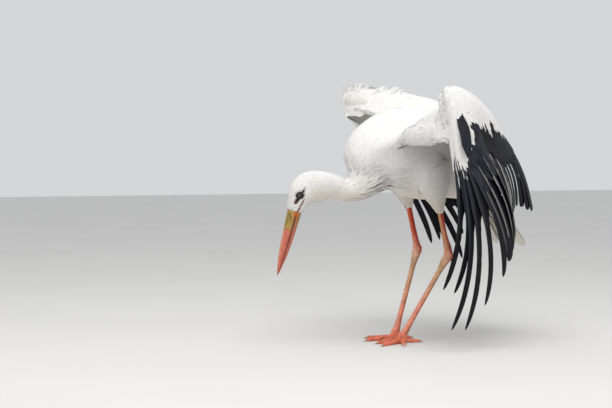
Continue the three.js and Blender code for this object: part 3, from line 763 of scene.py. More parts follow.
# The lie flows from one track into the next: every root takes the mean of its neighbours' lies.
all_roots = np.concatenate([f[0] for f in found.values()])
all_lies = np.concatenate([f[1] for f in found.values()])
few = thinned(all_roots, 9.0)
NEIGHBOUR = 22  # mm, at which a neighbour counts e^-1 of one at the root
flow = []
for part in np.array_split(all_roots, 40):
    away = np.linalg.norm(part[:, None] - all_roots[few][None], axis=-1)
    flow.append(np.exp(-((away / NEIGHBOUR) ** 2)) @ all_lies[few])
flow = unit(0.35 * all_lies + 0.65 * unit(np.concatenate(flow)))
start = 0
for track, (_, _, _, _, depth, length, half, corner) in TRACKS.items():
    roots, lie, s, t = found[track]
    n = len(roots)
    lie = unit(flow[start : start + n] + rng.normal(0, 0.06, (n, 3)))
    start += n
    bare = np.maximum.reduce(bare_face(roots))
    if track == "head":
        keep = (bare < 0.45) & (s > 0.014 + 0.006 * np.cos(6 * np.pi * t))
        roots, lie, s, t, bare = (x[keep] for x in (roots, lie, s, t, bare))
        n = len(roots)
    # hackles: long narrow plumes that gather in locks on the lower neck and the breast's front
    if track == "neck":
        hackle = smooth(0.60, 0.84, s) * smooth(1.0, 0.7, np.abs((t + 0.5) % 1 - 0.25) * 2.4)
    elif track == "trunk":
        hackle = smooth(0.24, 0.08, s) * smooth(-0.1, 0.5, -np.sin(2 * np.pi * t))
    else:
        hackle = np.zeros(n)
    lock = 2 * np.pi * (t * 17 + 0.35 * np.sin(9 * s) + 0.25 * np.sin(31 * t))
    i = nearest(roots, hide.points)
    across = np.cross(hide.normals[i], lie)
    lie = unit(lie + across * (0.16 * hackle * np.sin(lock))[:, None])
    stand = hackle * (1.7 + 2.4 * np.cos(lock))
    blades = feathers(
        hide, roots, lie, length(s) * jittered(n) * (1 - 0.4 * bare) * (1 + 0.35 * hackle),
        half(s) * jittered(n) * (1 - 0.35 * hackle), depth(s) * jittered(n, 0.07) * (1 - 0.5 * bare),
        outline=BROAD + (NARROW - BROAD) * hackle[:, None], stand=stand, camber=0.09,
    )
    # painted shade: plumes that lie low between the locks are darker; the rest vary at random
    shade = rng.uniform(0.96, 1.02, n) * (1 - 0.28 * hackle * smooth(0.2, -1, np.cos(lock)))
    places = np.array(corner) + np.stack([t % 1, s], -1) * 0.32
    piece = coat_piece(f"coat_{track}", blades, markings(roots) * shade[:, None], places, white_feather)

# ================================================================ wings
# Each wing has ten primaries and thirteen secondaries and tertials with stiff quills and vanes, rows
# of coverts over and under them, and four thumb feathers. The quills end inside the covert sheet.

PRIMARY_TIPS = np.array(
    [(172, -238, 258), (164, -242, 244), (156, -246, 226), (146, -250, 204), (128, -254, 169),
     (78, -258, 107), (27, -258, 54), (-7, -256, 55), (0, -255, 137), (-26, -252, 146)], float)
SECONDARY_TIPS = np.array(
    [(168, -227, 273), (190, -199, 302), (226, -159, 326), (284, -133, 312), (303, -108, 320)], float)
ARM_NORMAL, HAND_NORMAL = np.array((0.67, -0.45, 0.58)), np.array((0.12, -0.98, 0.12))
HEM_GAP = 4.8  # mm from the hem to a quill's zero
QUILL_START = -0.12  # the share of its length where a quill starts, inside the sheet
# Places along the wing of the innermost primary and the outermost secondary, and how far the quills
# of each kind spread from there: the primaries out and round the fingertip, the secondaries inwards.
PRIMARIES_FROM, PRIMARIES_SPAN, SECONDARIES_FROM, SECONDARIES_SPAN = 0.67, 1.18, 0.62, 0.6


def wrist_turned(points, degrees):
    """Points of the left hand swung back about the wrist."""
    c, s = np.cos(np.radians(degrees)), np.sin(np.radians(degrees))
    x, z = points[..., 0] - WRIST[0], points[..., 2] - WRIST[2]
    return np.stack([WRIST[0] + x * c - z * s, points[..., 1], WRIST[2] + x * s + z * c], -1)


def quill_lines(wing, place, tip, bow, crest, shares):
    """Quadratic curves (n, shares, 3) from the covert sheet's hem at `place` (past 1 round the
    fingertip) to the tips, pulled by `bow` most at the share `crest`. A share below 0 is inside the sheet."""
    along, chord = np.minimum(place, 1), np.where(place > 1, 2 - place, 1)
    root = (wing_surface(wing, along, chord) + wing_surface(wing, along, chord, lower=True)) / 2
    root = root + unit(tip - root) * HEM_GAP
    pull = root + (tip - root) * crest + bow
    t = shares[None, :, None]
    return (1 - t) ** 2 * root[:, None] + 2 * t * (1 - t) * pull[:, None] + t * t * tip[:, None]


def primary_lines(wing, u, shares):
    """Quills of the primaries at the places u from the wrist (0) to the fingertip (1), bowed outwards
    and backwards, and the upper side's normals: the arm's next to it and the palm's further out."""
    mirror = (1, -wing["side"], 1)
    tips = wrist_turned(PRIMARY_TIPS, wing["fold"] * (0.5 + 0.5 * smooth(0, 6, np.arange(10))))
    palm = unit(HAND_NORMAL + (ARM_NORMAL - HAND_NORMAL) * smooth(0.6, 1.2, 1 - u)[:, None])
    bend = 20 + 45 * smooth(0.2, 0.75, u) - 28 * smooth(0.75, 1, u)
    a = np.radians(wing["fold"])
    sweep = np.stack([bend * np.cos(a), 0 * bend, bend * np.sin(a)], -1)
    place, bow = PRIMARIES_FROM + PRIMARIES_SPAN * u, (palm * 16 + sweep) * mirror
    return quill_lines(wing, place, spline(tips, u) * mirror, bow, 0.58, shares), palm * mirror


def secondary_lines(wing, u, shares):
    """Quills of the secondaries at the places u from the wrist (0) to the body (1), and the upper
    side's normals: square to the quill and to the step from one quill to the next."""
    mirror = (1, -wing["side"], 1)

    def lines(v):
        """The quills at these places."""
        tip = wrist_turned(spline(SECONDARY_TIPS, v), wing["fold"] * 0.4 * (1 - v))
        bow = np.array((18, -8, 12.0)) * mirror
        place = SECONDARIES_FROM - SECONDARIES_SPAN * v
        return quill_lines(wing, place, tip * mirror, bow, 0.45, shares)

    line = lines(u)
    step = lines(np.minimum(u + 0.03, 1)) - lines(np.maximum(u - 0.03, 0))
    run = np.gradient(line, axis=1) if len(shares) > 1 else step
    normal = unit(np.cross(run, step))
    return line, normal * np.sign((normal * ARM_NORMAL * mirror).sum(-1, keepdims=True))


VANE_COLUMNS = np.array([-1, -0.8, -0.5, -0.2, 0, 0.2, 0.5, 0.8, 1])  # outer edge, shaft, inner edge
VANE_HALF = 0.28  # mm, half the thickness


def vanes(line, normal, outer, inner, tilt, shaft=1.3, rise=None):
    """Upper and lower grids of flight feathers on quills (n, rows, 3). The outer vane lifts over the
    neighbour's inner vane by `rise` of its width (`tilt` when not given) and the inner one sinks by
    `tilt`. Barbs sweep the edges towards the tip, and a shaft stands out on both sides."""
    n, count = line.shape[:2]
    run = unit(np.gradient(line, axis=1))
    normal = normal if normal.ndim == 3 else np.broadcast_to(normal[:, None], line.shape)
    side = unit(np.cross(normal, run))
    trailing = np.concatenate([line[:1] - line[1:2], line[:-1] - line[1:]])
    side = side * np.sign((side * trailing).sum((1, 2)))[:, None, None]
    out = unit(np.cross(run, side))
    out = out * np.sign((out * normal).sum((1, 2)))[:, None, None]
    v = VANE_COLUMNS[None, None, :, None]
    width = np.where(v < 0, outer[..., None, None], inner[..., None, None])
    across = side[:, :, None] * v * width
    slope = np.where(v < 0, tilt if rise is None else rise, tilt)
    lift = out[:, :, None] * (-slope * v * width - 0.06 * v * v * width)
    swept = run[:, :, None] * np.abs(v) * width * 0.45
    s = np.linspace(0, 1, count)[None, :, None, None]
    ridge = shaft * (1.05 - s) * np.exp(-((v / 0.12) ** 2))
    middle = line[:, :, None] + across + lift + swept
    out = out[:, :, None]
    return middle + out * (VANE_HALF + ridge * 0.6), middle - out * (VANE_HALF + ridge)


def vane_piece(name, upper, lower, colour, material, flip):
    """One mesh of flight feathers from their upper and lower grids (n, rows, columns, 3). On the
    OFBake square each has a strip, its upper side below and its lower side above."""
    n, count, columns = upper.shape[:3]
    faces = triangles(closed_sheet(upper[0], lower[0])[1])
    rim = np.zeros((2, count, columns), bool)
    rim[:, [0, -1]] = rim[:, :, [0, -1]] = True
    size = np.linalg.norm(upper[:, -1, columns // 2] - upper[:, 0, columns // 2], axis=-1)[:, None, None]
    order = np.arange(n)[:, None, None]
    s, v = (np.broadcast_to(x, upper.shape[:3]) for x in grid(np.linspace(0, 1, count), VANE_COLUMNS))
    vane = np.stack([s * size / 10 + 7.3 * order, v], -1).reshape(n, -1, 2)
    strip = np.stack([(order + 0.5 + 0.45 * v) / n, s * 0.48], -1).reshape(n, -1, 2)
    return many_piece(
        name, np.concatenate([upper.reshape(n, -1, 3), lower.reshape(n, -1, 3)], 1),
        faces[:, ::-1] if flip else faces, rim.ravel(), np.concatenate([colour.reshape(n, -1, 3)] * 2, 1),
        np.concatenate([vane, vane], 1), np.concatenate([strip, strip + (0, 0.51)], 1), material,
    )


def of_rows(values):
    """One value for each row of a grid of vanes."""
    return values[None, :, None, None]


black_feather = vane_look("black_feather", roughness=0.5, sheen=0.0, barb=9.0, contrast=0.5, gloss=0.12)
BLACK = np.array((0.008, 0.008, 0.011))
SLATE = np.array((0.036, 0.037, 0.052))
SILVER = np.array((0.40, 0.38, 0.37))
s = np.linspace(0, 1, 44)  # the rows of every flight feather, from root to tip
shares = QUILL_START + (1 - QUILL_START) * s
EDGE_COLUMN = (np.abs(VANE_COLUMNS + 0.65) < 0.2)[None, None, :, None]  # just inside the outer edge
beds = {}
for name, wing in WINGS.items():
    flip = wing["side"] > 0
    # primaries, from the innermost outwards, narrowed (emarginate) towards the tip
    u = np.linspace(0, 1, 10)
    line, normal = primary_lines(wing, u, shares)
    emarginate = smooth(0.3, 0.46, s)[None] * smooth(0.3, 0.5, u)[:, None]
    tip = (1 - np.clip(s, 0, 1) ** 9)[None] ** 0.6 * smooth(-0.02, 0.12, s)[None]
    ragged = 1 - 0.05 * rng.random((10, len(s))) - 0.12 * (rng.random((10, len(s))) > 0.96) * (s > 0.35)
    inner = (24 - 13.5 * emarginate) * tip * ragged
    outer = (10 - 3.6 * emarginate) * tip * ragged
    # the higher wing turns its primaries somewhat edge-on
    palm = unit(normal + np.array((0.9, -0.5 * wing["side"], 0.2)) * wing["twist"])
    upper, lower = vanes(line, palm, outer, inner, tilt=0.16)
    colour = np.broadcast_to(BLACK, upper.shape).copy()
    slate = smooth(0.1, -0.4, VANE_COLUMNS)[None, None, :, None] * of_rows(smooth(0.75, 0.3, s))
    colour += (SLATE - colour) * slate * 0.8
    silver = EDGE_COLUMN * of_rows(smooth(0.95, 0.75, s))
    colour += (SILVER * 0.8 - colour) * silver * (smooth(0.45, 0.15, u) * 0.8)[:, None, None, None]
    primaries = vane_piece(f"primaries_{name}", upper, lower, colour, black_feather, flip)
    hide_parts(f"wing_{name}_primaries")
    # tertials and secondaries, from the body out to the wrist, where every second one has a silver edge
    u = np.linspace(1, 0, 13)
    line, normal = secondary_lines(wing, u, shares)
    ragged = 1 - 0.04 * rng.random((13, len(s)))
    tip = (1 - np.clip(s, 0, 1) ** 12)[None] ** 0.5 * smooth(-0.1, 0.04, s)[None]
    upper, lower = vanes(line, normal, 11.0 * tip * ragged, 23.0 * tip * ragged, tilt=0.26, rise=0.0)
    colour = np.broadcast_to(BLACK, upper.shape).copy()
    silver = EDGE_COLUMN * of_rows(smooth(0.99, 0.85, s))
    edged = smooth(0.36, 0.3, u) * (np.arange(13) % 2 == 1) * 0.9
    colour += (SILVER - colour) * silver * edged[:, None, None, None]
    secondaries = vane_piece(f"secondaries_{name}", upper, lower, colour, black_feather, flip)
    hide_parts(f"wing_{name}_secondaries")
    # what the coverts lie on: the sheet's two faces and the roots of the quills beyond its hem
    a, c = grid(np.linspace(-0.2, 1, 70), np.linspace(0, 1, 44))
    faces = [wing_surface(wing, a, c, lower) for lower in (False, True)]
    near_u, near_s = np.linspace(0, 1, 40), np.linspace(0.02, 0.4, 14)
    hand_line, hand_normal = primary_lines(wing, near_u, near_s)
    arm_line, arm_normal = secondary_lines(wing, near_u, near_s)
    for lower, sign in ((False, 1), (True, -1)):
        normals = unit(slopes_cross(lambda a, c: wing_surface(wing, a, c, lower), a, c, 2 * STEP))
        normals = normals * np.sign(dot(normals, faces[lower] - faces[not lower]).mean())
        beds[name, lower] = Bed(
            np.concatenate([x.reshape(-1, 3) for x in (faces[lower], hand_line, arm_line)]),
            np.concatenate([
                normals.reshape(-1, 3), np.repeat(hand_normal, len(near_s), 0) * sign,
                arm_normal.reshape(-1, 3) * sign,
            ]),
        )


def covert_lie(wing, along, chord):
    """Square to the leading edge at first, and turning with the chord into the run of the flight
    feathers that the coverts cover. On the hand they all run out along the primaries."""
    e = 2 * STEP
    down = unit(wing_surface(wing, along, chord + e) - wing_surface(wing, along, chord - e))
    near = np.array([0.0, 0.05])
    primary, _ = primary_lines(wing, np.clip((along - PRIMARIES_FROM) / 0.6, 0, 1), near)
    secondary, _ = secondary_lines(wing, np.clip((SECONDARIES_FROM - along) / SECONDARIES_SPAN, 0, 1), near)
    hand = smooth(0.58, 0.74, along)[:, None]
    flight = unit(primary[:, 1] - primary[:, 0]) * hand
    flight = flight + unit(secondary[:, 1] - secondary[:, 0]) * (1 - hand)
    share = np.clip(0.2 + 0.65 * chord, 0, 1)[:, None] * (1 - hand) + 0.92 * hand
    outward = wing_surface(wing, np.minimum(along + 0.02, 1), chord) - wing_surface(wing, along - 0.02, chord)
    outward = unit(outward)
    edge = smooth(0.2, 0.0, chord)[:, None]
    return unit(unit(down * (1 - share) + flight * share) * (1 - 0.8 * edge) + outward * edge)


def covert_rows(wing, lower, chords, alongs, step, gap):
    """Roots of coverts on one face of the sheet, with their places along the wing and the chord."""
    roots, _, chord, along = rows(
        lambda c, a: wing_surface(wing, a, c, lower), *chords, step, gap, turns=alongs, closed=False)
    return roots, np.clip(along, -0.2, 1), np.clip(chord, 0, 1)


def mottled(low, high, n):
    """One random share between the two for each feather, as a column."""
    return rng.uniform(low, high, (n, 1))


def brow(wing, c, a):
    """Down from the upper leading edge to the lower one, bulging forwards by a sine of at most a
    third of the edge's height."""
    top, low = wing_surface(wing, a, 0 * a), wing_surface(wing, a, 0 * a, lower=True)
    ahead = unit(top - wing_surface(wing, a, 0 * a + 0.05))
    high = np.linalg.norm(low - top, axis=-1)
    bulge = 0.33 * wing["chin"] * high * smooth(-0.05, 0.3, a) * np.sin(np.pi * np.clip(c, 0, 1))
    return top + (low - top) * c[..., None] + ahead * bulge[..., None]


# Over the chord: the step between rows and the gap in a row, and each covert's length and half width.
ARM_STEP = by_share((0, 0.3, 0.6, 1), (4.2, 5.4, 7.5, 11))
ARM_GAP = by_share((0, 0.3, 0.6, 1), (4.2, 5.2, 7.5, 9.5))
ARM_LENGTH = by_share((0, 0.3, 0.6, 0.66, 0.72, 1), (13, 24, 38, 44, 68, 66))
ARM_HALF = by_share((0, 0.3, 0.6, 0.8, 1), (2.8, 4.2, 6.6, 8.2, 8.0))
# Along the wing: the chord where the arm's white coverts end, and the hand's.
ARM_WHITE = by_share(
    (0, 0.1, 0.3, 0.44, 0.465, 0.51, 0.55, 0.6, 0.66),
    (0.74, 0.735, 0.70, 0.665, 0.66, 0.745, 0.73, 0.72, 0.70))
HAND_WHITE = by_share(
    (0.66, 0.70, 0.75, 0.78, 0.85, 0.92, 1.0), (0.70, 0.68, 0.50, 0.62, 0.58, 0.48, 0.40))
# The two fields under the wing, arm and hand: chords, places along, step and gap over the chord.
UNDERWING = (
    ((0.0, 0.95), (0.02, 0.68), (4.6, 6.5, 9), (4.8, 6.5, 9)),
    ((0.0, 0.97), (0.66, 1.0), (4.6, 6, 8), (4.8, 6, 8)),
)
for name, wing in WINGS.items():
    hull = np.array([1, -wing["side"], 1])
    groups = []
    # lesser, median and greater coverts of the arm, smallest in front
    roots, along, chord = covert_rows(wing, False, (0.0, 0.9), (-0.12, 0.68), ARM_STEP, ARM_GAP)
    # raised coverts stand in clumps of broad feathers along the ridge
    ruffled = wing["ruffle"] / 18 * smooth(0.12, 0.26, chord) * smooth(0.6, 0.42, chord)
    ruffled = ruffled * smooth(0.02, 0.2, along) * smooth(0.66, 0.6, along)
    waves = np.sin(44 * along + 9 * chord + 1.6 * np.sin(17 * along))
    clump = smooth(-0.6, 0.9, waves + rng.uniform(-0.5, 0.5, len(chord)))
    keep = rng.random(len(chord)) > 0.3 * ruffled
    roots, along, chord, ruffled, clump = (x[keep] for x in (roots, along, chord, ruffled, clump))
    n = len(chord)
    stand = ruffled * clump * np.clip(rng.normal(8, 3, n), 0, 13) * (1 + 0.5 * smooth(0.25, 0.45, along))
    is_black = (chord > ARM_WHITE(along) + rng.uniform(-0.01, 0.01, n)) & (along > -0.05)
    blades = feathers(
        beds[name, False], roots, covert_lie(wing, along, chord), ARM_LENGTH(chord) * jittered(n),
        ARM_HALF(chord) * jittered(n) * (1 + 0.55 * ruffled), np.interp(chord, (0, 0.3, 1), (1.0, 1.6, 2.6)),
        stand=stand, base=-2.0,
    )
    white, black = markings(roots) * mottled(0.94, 1.03, n), BLACK * mottled(0.5, 1.1, n)
    tint = np.where(is_black[:, None], black, white)
    groups.append((blades, tint, np.stack([along + 0.2, chord], -1)))
    # coverts of the hand: white round the leading edge and under the thumb, dark over the primaries
    roots, along, chord = covert_rows(
        wing, False, (0.0, 0.97), (0.66, 1.0), by_share((0, 1), (4.4, 7.5)), by_share((0, 1), (4.6, 8)))
    n = len(chord)
    dark = chord > HAND_WHITE(along) + rng.uniform(-0.015, 0.015, n)
    long_edge = smooth(0.86, 1.0, along) * smooth(0.5, 0.1, chord)
    length = np.interp(chord, (0, 0.6, 1), (18, 30, 34)) + 40 * long_edge
    length = length + dark * np.interp(chord, (0.5, 0.7, 1), (6, 32, 42))
    blades = feathers(
        beds[name, False], roots, covert_lie(wing, along, chord), length * jittered(n),
        np.interp(chord, (0, 0.6, 0.8, 1), (3.2, 5, 7.5, 7.5)) * (1 - 0.25 * long_edge),
        np.interp(chord, (0, 1), (1.0, 2.4)), base=-1.5,
    )
    slate, white = SLATE * 0.75 * mottled(0.6, 1.3, n), markings(roots) * mottled(0.94, 1.03, n)
    tint = np.where(dark[:, None], slate, white)
    groups.append((blades, tint, np.stack([along + 0.2, chord], -1)))
    blades, tint, place = (np.concatenate(x) for x in zip(*groups))
    place = place * (0.8, 0.9)
    dark = tint.max(1) < 0.3
    white_coverts = coat_piece(f"coverts_{name}", blades[~dark], tint[~dark], place[~dark], white_feather)
    black_coverts = coat_piece(f"dark_coverts_{name}", blades[dark], tint[dark], place[dark], black_feather)
    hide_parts(f"wing_{name}_arm", f"wing_{name}_hand")
    # marginal coverts on the thick leading edge, from its upper rim down to where the underside begins
    roots, lie, chord, along = rows(
        lambda c, a: brow(wing, c, a), -0.05, 1.0, 3.6, 4.0, turns=(0.0, 0.99), closed=False)
    front = surface_bed(lambda a, c: brow(wing, c, a), np.linspace(0, 1, 90), np.linspace(0, 1, 12))
    a, c = grid(np.linspace(0, 1, 90), np.linspace(0, 1, 12))
    within = (wing_surface(wing, a, 0 * a + 0.2) + wing_surface(wing, a, 0 * a + 0.2, lower=True)) / 2
    front.normals *= np.sign(dot(front.normals, front.points - within.reshape(-1, 3)))
    roots, lie, chord, along = (x[along > 0.42] for x in (roots, lie, chord, along))
    n = len(chord)
    outward = wing_surface(wing, np.minimum(along + 0.02, 1), 0 * along)
    outward = unit(outward - wing_surface(wing, along, 0 * along))
    down = chord[:, None]
    blades = feathers(
        front, roots, unit(lie * (0.15 + 0.35 * down) + outward * (1 - 0.3 * down)),
        (17 + 5 * chord) * jittered(n), (3.2 + 1.0 * chord) * jittered(n), 1.6, base=-2.0, camber=0.09,
    )
    tint = markings(roots) * mottled(0.94, 1.03, n)
    place = np.stack([along, chord * 0.1], -1) * 0.9
    edge = coat_piece(f"leading_edge_{name}", blades, tint, place, white_feather)
    # underwing coverts
    groups = []
    for chords, alongs, step, gap in UNDERWING:
        roots, along, chord = covert_rows(
            wing, True, chords, alongs, by_share((0, 0.5, 1), step), by_share((0, 0.5, 1), gap))
        n = len(chord)
        blades = feathers(
            beds[name, True], roots, covert_lie(wing, along, chord),
            np.interp(chord, (0, 0.5, 1), (18, 34, 52)) * jittered(n),
            np.interp(chord, (0, 0.5, 1), (3.2, 5.2, 7.5)), np.interp(chord, (0, 0.5, 1), (1.0, 2.0, 2.6)),
            base=-1.5,
        )
        # painted shade: the underwing's white is a little darker and warmer than the upper coverts, with a
        # random spread
        tint = WHITE * mottled(0.9, 1.0, n) * (1, 0.985, 0.965)
        groups.append((blades, tint, np.stack([along + 0.2, chord], -1)))
    blades, tint, place = (np.concatenate(x) for x in zip(*groups))
    under = coat_piece(f"underwing_{name}", blades, tint, place * (0.8, 0.9), white_feather)
    # the thumb's four stiff feathers, the shortest on top
    order = np.arange(4)[:, None]
    root = np.array((-7, -266, 541.0)) + order * np.array((4, -1.6, 0.7))
    end = np.array((7, -289, 458.0)) + order * np.array((3.2, 0.6, -6.2))
    root, end = wrist_turned(root, wing["fold"]) * hull, wrist_turned(end, wing["fold"]) * hull
    t = s[None, :, None]
    bow = np.array((5, -7, 0.0)) * hull
    line = root[:, None] * (1 - t) + end[:, None] * t + 4 * bow * t * (1 - t)
    shape = (1 - s**7)[None] ** 0.6 * (0.2 + 0.8 * smooth(0, 0.4, s))[None] * np.ones((4, 1))
    upper, lower = vanes(line, np.repeat((HAND_NORMAL * hull)[None], 4, 0), 7 * shape, 10 * shape, 0.12, 0.9)
    colour = np.broadcast_to(SLATE * 0.8, upper.shape) * rng.uniform(0.7, 1.3, (4, 1, 1, 1))
    alula = vane_piece(f"alula_{name}", upper, lower, colour, black_feather, wing["side"] > 0)
    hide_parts(f"wing_{name}_alula")

# ================================================================ tail
# Twelve broad white feathers with rounded ends, the middle pair on top, in a half-open fan. Their
# quills are set in the rump, six on each side of it.
u = np.linspace(0, 1, 12)
place = 2 * u - 1
normal, along = np.array((0.75, 0, 0.66)), np.array((0.66, 0, -0.75))
arch = -9 * place[:, None] ** 2 * normal
angle = np.radians(place * 12)[:, None]
way = along * np.cos(angle) + np.cross(normal, along) * np.sin(angle)
from_middle = np.abs(place[:, None])
root = np.array((189, 0, 388.0)) + np.array((0, 1, 0)) * place[:, None] * 20 + arch
root = root + normal * (4 - 5 * from_middle)
end = root + way * (219 - 14 * from_middle) + arch
t = (-0.02 + 1.02 * s)[None, :, None]
line = root[:, None] * (1 - t) + end[:, None] * t + 4 * normal * 4 * t * (1 - t)
wide = (7 + 11 * smooth(0, 0.7, s))[None] * (1 - s**14)[None] ** 0.5 * (1 - 0.03 * rng.random((12, len(s))))
# painted shade: the tail's white is greyer and warmer than the body's
TAIL_SHADE_WHITE = WHITE * (0.90, 0.86, 0.80)
for side, chosen in (("left", line[:6]), ("right", line[6:][::-1])):
    # the vane nearer the middle is the inner one, and tucks under the next feather
    upper, lower = vanes(chosen[::-1], np.repeat(normal[None], 6, 0), wide[:6], wide[:6] * 1.05, 0.14, 0.8)
    colour = np.broadcast_to(TAIL_SHADE_WHITE, upper.shape) * rng.uniform(0.95, 1.02, (6, 1, 1, 1))
    tail = vane_piece(f"tail_{side}", upper, lower, colour, white_feather, side == "right")
    if side == "left":
        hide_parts("tail")

# ================================================================ eyes
# Dark brown eyes under a clear bulging cornea, each in creased lids of bare black skin. The ball
# stands 2 mm out of the hide, and the lids close over its rim and sink into the hide round it.
BALL_CENTRE, BALL_RADIUS = np.array((FACE[0], 15.4, FACE[2])), 7.4
PUPIL, IRIS_EDGE = 0.34, 0.80  # radians from the eye's axis
IRIS, PUPIL_SHADE = np.array((0.034, 0.013, 0.007)), 0.0025
WET_RIM = np.array((0.05, 0.016, 0.014))  # the lids' inner edge
LID_OPENING, LID_SPREAD = (6.1, 5.0), (4.6, 4.2)  # half sizes along and across the bare patch
# Place over a lid's section from the opening (0) to its outer rim (1), and height over the ball or hide.
LID_PROFILE = np.array(
    [
        (0, 0.35), (0.05, 0.85), (0.2, 1.15), (0.4, 0.85), (0.55, 0.95), (0.8, 0.4), (1, -0.5), (1, -2.2),
        (0.5, -1.8), (0.1, -1.0),
    ]
)


def cloud(points, size, seed):
    """Soft mottling, 0 to 1: the mean of seven waves of about the given length in random directions."""
    waves = np.random.default_rng(seed)
    way = unit(waves.normal(size=(7, 3))) * 2 * np.pi / (size * waves.uniform(0.6, 1.5, (7, 1)))
    return np.clip(0.5 + 0.28 * np.sin(points @ way.T + waves.uniform(0, 6.28, 7)).sum(-1) / 1.5, 0, 1)


def faced_out(piece):
    """Turns the faces of closed shells outwards."""
    shell = bmesh.new()
    shell.from_mesh(piece.data)
    bmesh.ops.recalc_face_normals(shell, faces=shell.faces)
    shell.to_mesh(piece.data)
    shell.free()
    return piece


def torus_faces(rings, around):
    """Quads round a closed tube whose last ring joins the first."""
    j, i = grid(np.arange(rings), np.arange(around))
    corner = [((j + a) % rings) * around + (i + b) % around for a, b in ((0, 0), (0, 1), (1, 1), (1, 0))]
    return np.stack(corner, -1).reshape(-1, 4)


# Eye: its colour from the points, with a fine grain, under a wet gloss.
eye_look, add, surface = new_look("eye")
grain = add("TexNoise", {"Scale": 1500, "Vector": add("TexCoord").outputs["Object"]}).outputs["Fac"]
feed(surface, {"Base Color": shaded_tint(add, grain, 0.4), "Roughness": 0.07, "Coat Weight": 0.25,
               "Coat Roughness": 0.03})

for name, wing in WINGS.items():
    hand = wing["side"]
    centre = BALL_CENTRE * (1, hand, 1)
    out = unit(np.array((-0.10, hand, 0.0)))
    far = unit(np.array((PATCH[0], 0, PATCH[1])) - out * (out[0] * PATCH[0]))
    over = np.cross(out, far)
    # ball: distance from the centre grows by 0.5 mm towards the axis
    polar, turn = grid(np.linspace(0.03, 3.1, 60), np.arange(56) / 56 * 2 * np.pi)
    radius = BALL_RADIUS + 0.5 * np.exp(-((polar / 0.55) ** 2))
    spokes = np.stack([np.sin(polar) * np.cos(turn), np.sin(polar) * np.sin(turn), np.cos(polar)], -1)
    rings = centre + radius[..., None] * (spokes @ np.stack([far, over, out]))
    ball = faced_out(new_mesh(f"eyeball_{name}", capped(rings), round_faces(*polar.shape)))
    rays = 0.75 + 0.35 * np.abs(np.sin(23 * turn + 3 * np.sin(7 * turn)))
    shade = IRIS * (rays * smooth(IRIS_EDGE, 0.6, polar))[..., None]
    shade = np.where((polar > IRIS_EDGE)[..., None], SMOKE, shade + 0.003)
    shade = np.where((polar < PUPIL)[..., None], PUPIL_SHADE, shade)
    tinted(ball, np.concatenate([shade[0, :1], shade.reshape(-1, 3), shade[-1, :1]]))
    dressed(ball, eye_look)
    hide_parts(f"eye_{name}")
    # lids: an oval ring from over the ball to the hide
    turn, row = grid(np.arange(72) / 72 * 2 * np.pi, np.arange(len(LID_PROFILE)))
    spread, height = LID_PROFILE[row, 0], LID_PROFILE[row, 1]
    a = (LID_OPENING[0] + 0.7 * np.abs(np.cos(turn)) ** 6 + LID_SPREAD[0] * spread) * np.cos(turn)
    b = (LID_OPENING[1] + LID_SPREAD[1] * spread) * np.sin(turn)
    flat = centre + a[..., None] * far + b[..., None] * over
    on_ball = np.sqrt(np.maximum(BALL_RADIUS**2 - a**2 - b**2, 9))
    found_hide, _ = hide.snap((flat + 6 * out).reshape(-1, 3), np.zeros(flat.size // 3))
    on_hide_height = ((found_hide - centre) @ out).reshape(a.shape)
    blend = smooth(0.1, 1, spread)
    crease = 0.10 * np.cos(9 * turn + 4 * np.sin(2 * turn)) * smooth(0.1, 0.4, spread)
    lid = flat + (on_ball * (1 - blend) + on_hide_height * blend + height + crease)[..., None] * out
    lids = faced_out(new_mesh(f"lids_{name}", lid, torus_faces(*turn.shape)))
    wet = smooth(0.12, 0.0, spread)[..., None]
    lid_tint = SMOKE * (0.8 + 0.7 * cloud(lid, 3.0, 5)[..., None]) * (1 - wet) + WET_RIM * wet
    tinted(lids, lid_tint.reshape(-1, 3))
    dressed(lids, hide_look)

# ================================================================ bill
# Two long mandibles of horn, closed. The upper one has a rounded ridge, a slit nostril in a shallow
# groove on each side and cutting edges that overhang the lower one. The base is olive with dark marks.
BILL_BASE, BILL_ALONG = np.array((-271, 0, 332.0)), unit(np.array((-0.285, 0, -0.96)))
BILL_RIDGE = np.array((BILL_ALONG[2], 0, -BILL_ALONG[0]))  # towards the ridge
BILL_LENGTH, BILL_HALF_DEPTH, BILL_HALF_WIDTH, MOUTH_DROP, MOUTH_GAP = 172, 18, 12, 2, 0.22
NOSTRIL_AT, NOSTRIL_LONG, NOSTRIL_TURN = 0.20, 0.03, 0.62  # shares of the length, angle over the edge
# the pale pink for the bill's ridge is a painted highlight
OLIVE, SALMON, RIDGE_HIGHLIGHT, ORANGE, WINE, SOOT = np.array(
    [(0.33, 0.215, 0.045), (0.54, 0.135, 0.082), (0.64, 0.29, 0.19), (0.62, 0.13, 0.025),
     (0.13, 0.016, 0.012), (0.02, 0.017, 0.012)])


def nostril(share, from_edge, wide):
    """1 in the slit: e^-(a^4 + b^2) of the distances along the bill and round it, over their sizes."""
    lengthwise = np.exp(-(((share - NOSTRIL_AT) / NOSTRIL_LONG) ** 4))
    return lengthwise * np.exp(-(((from_edge - NOSTRIL_TURN) / wide) ** 2))


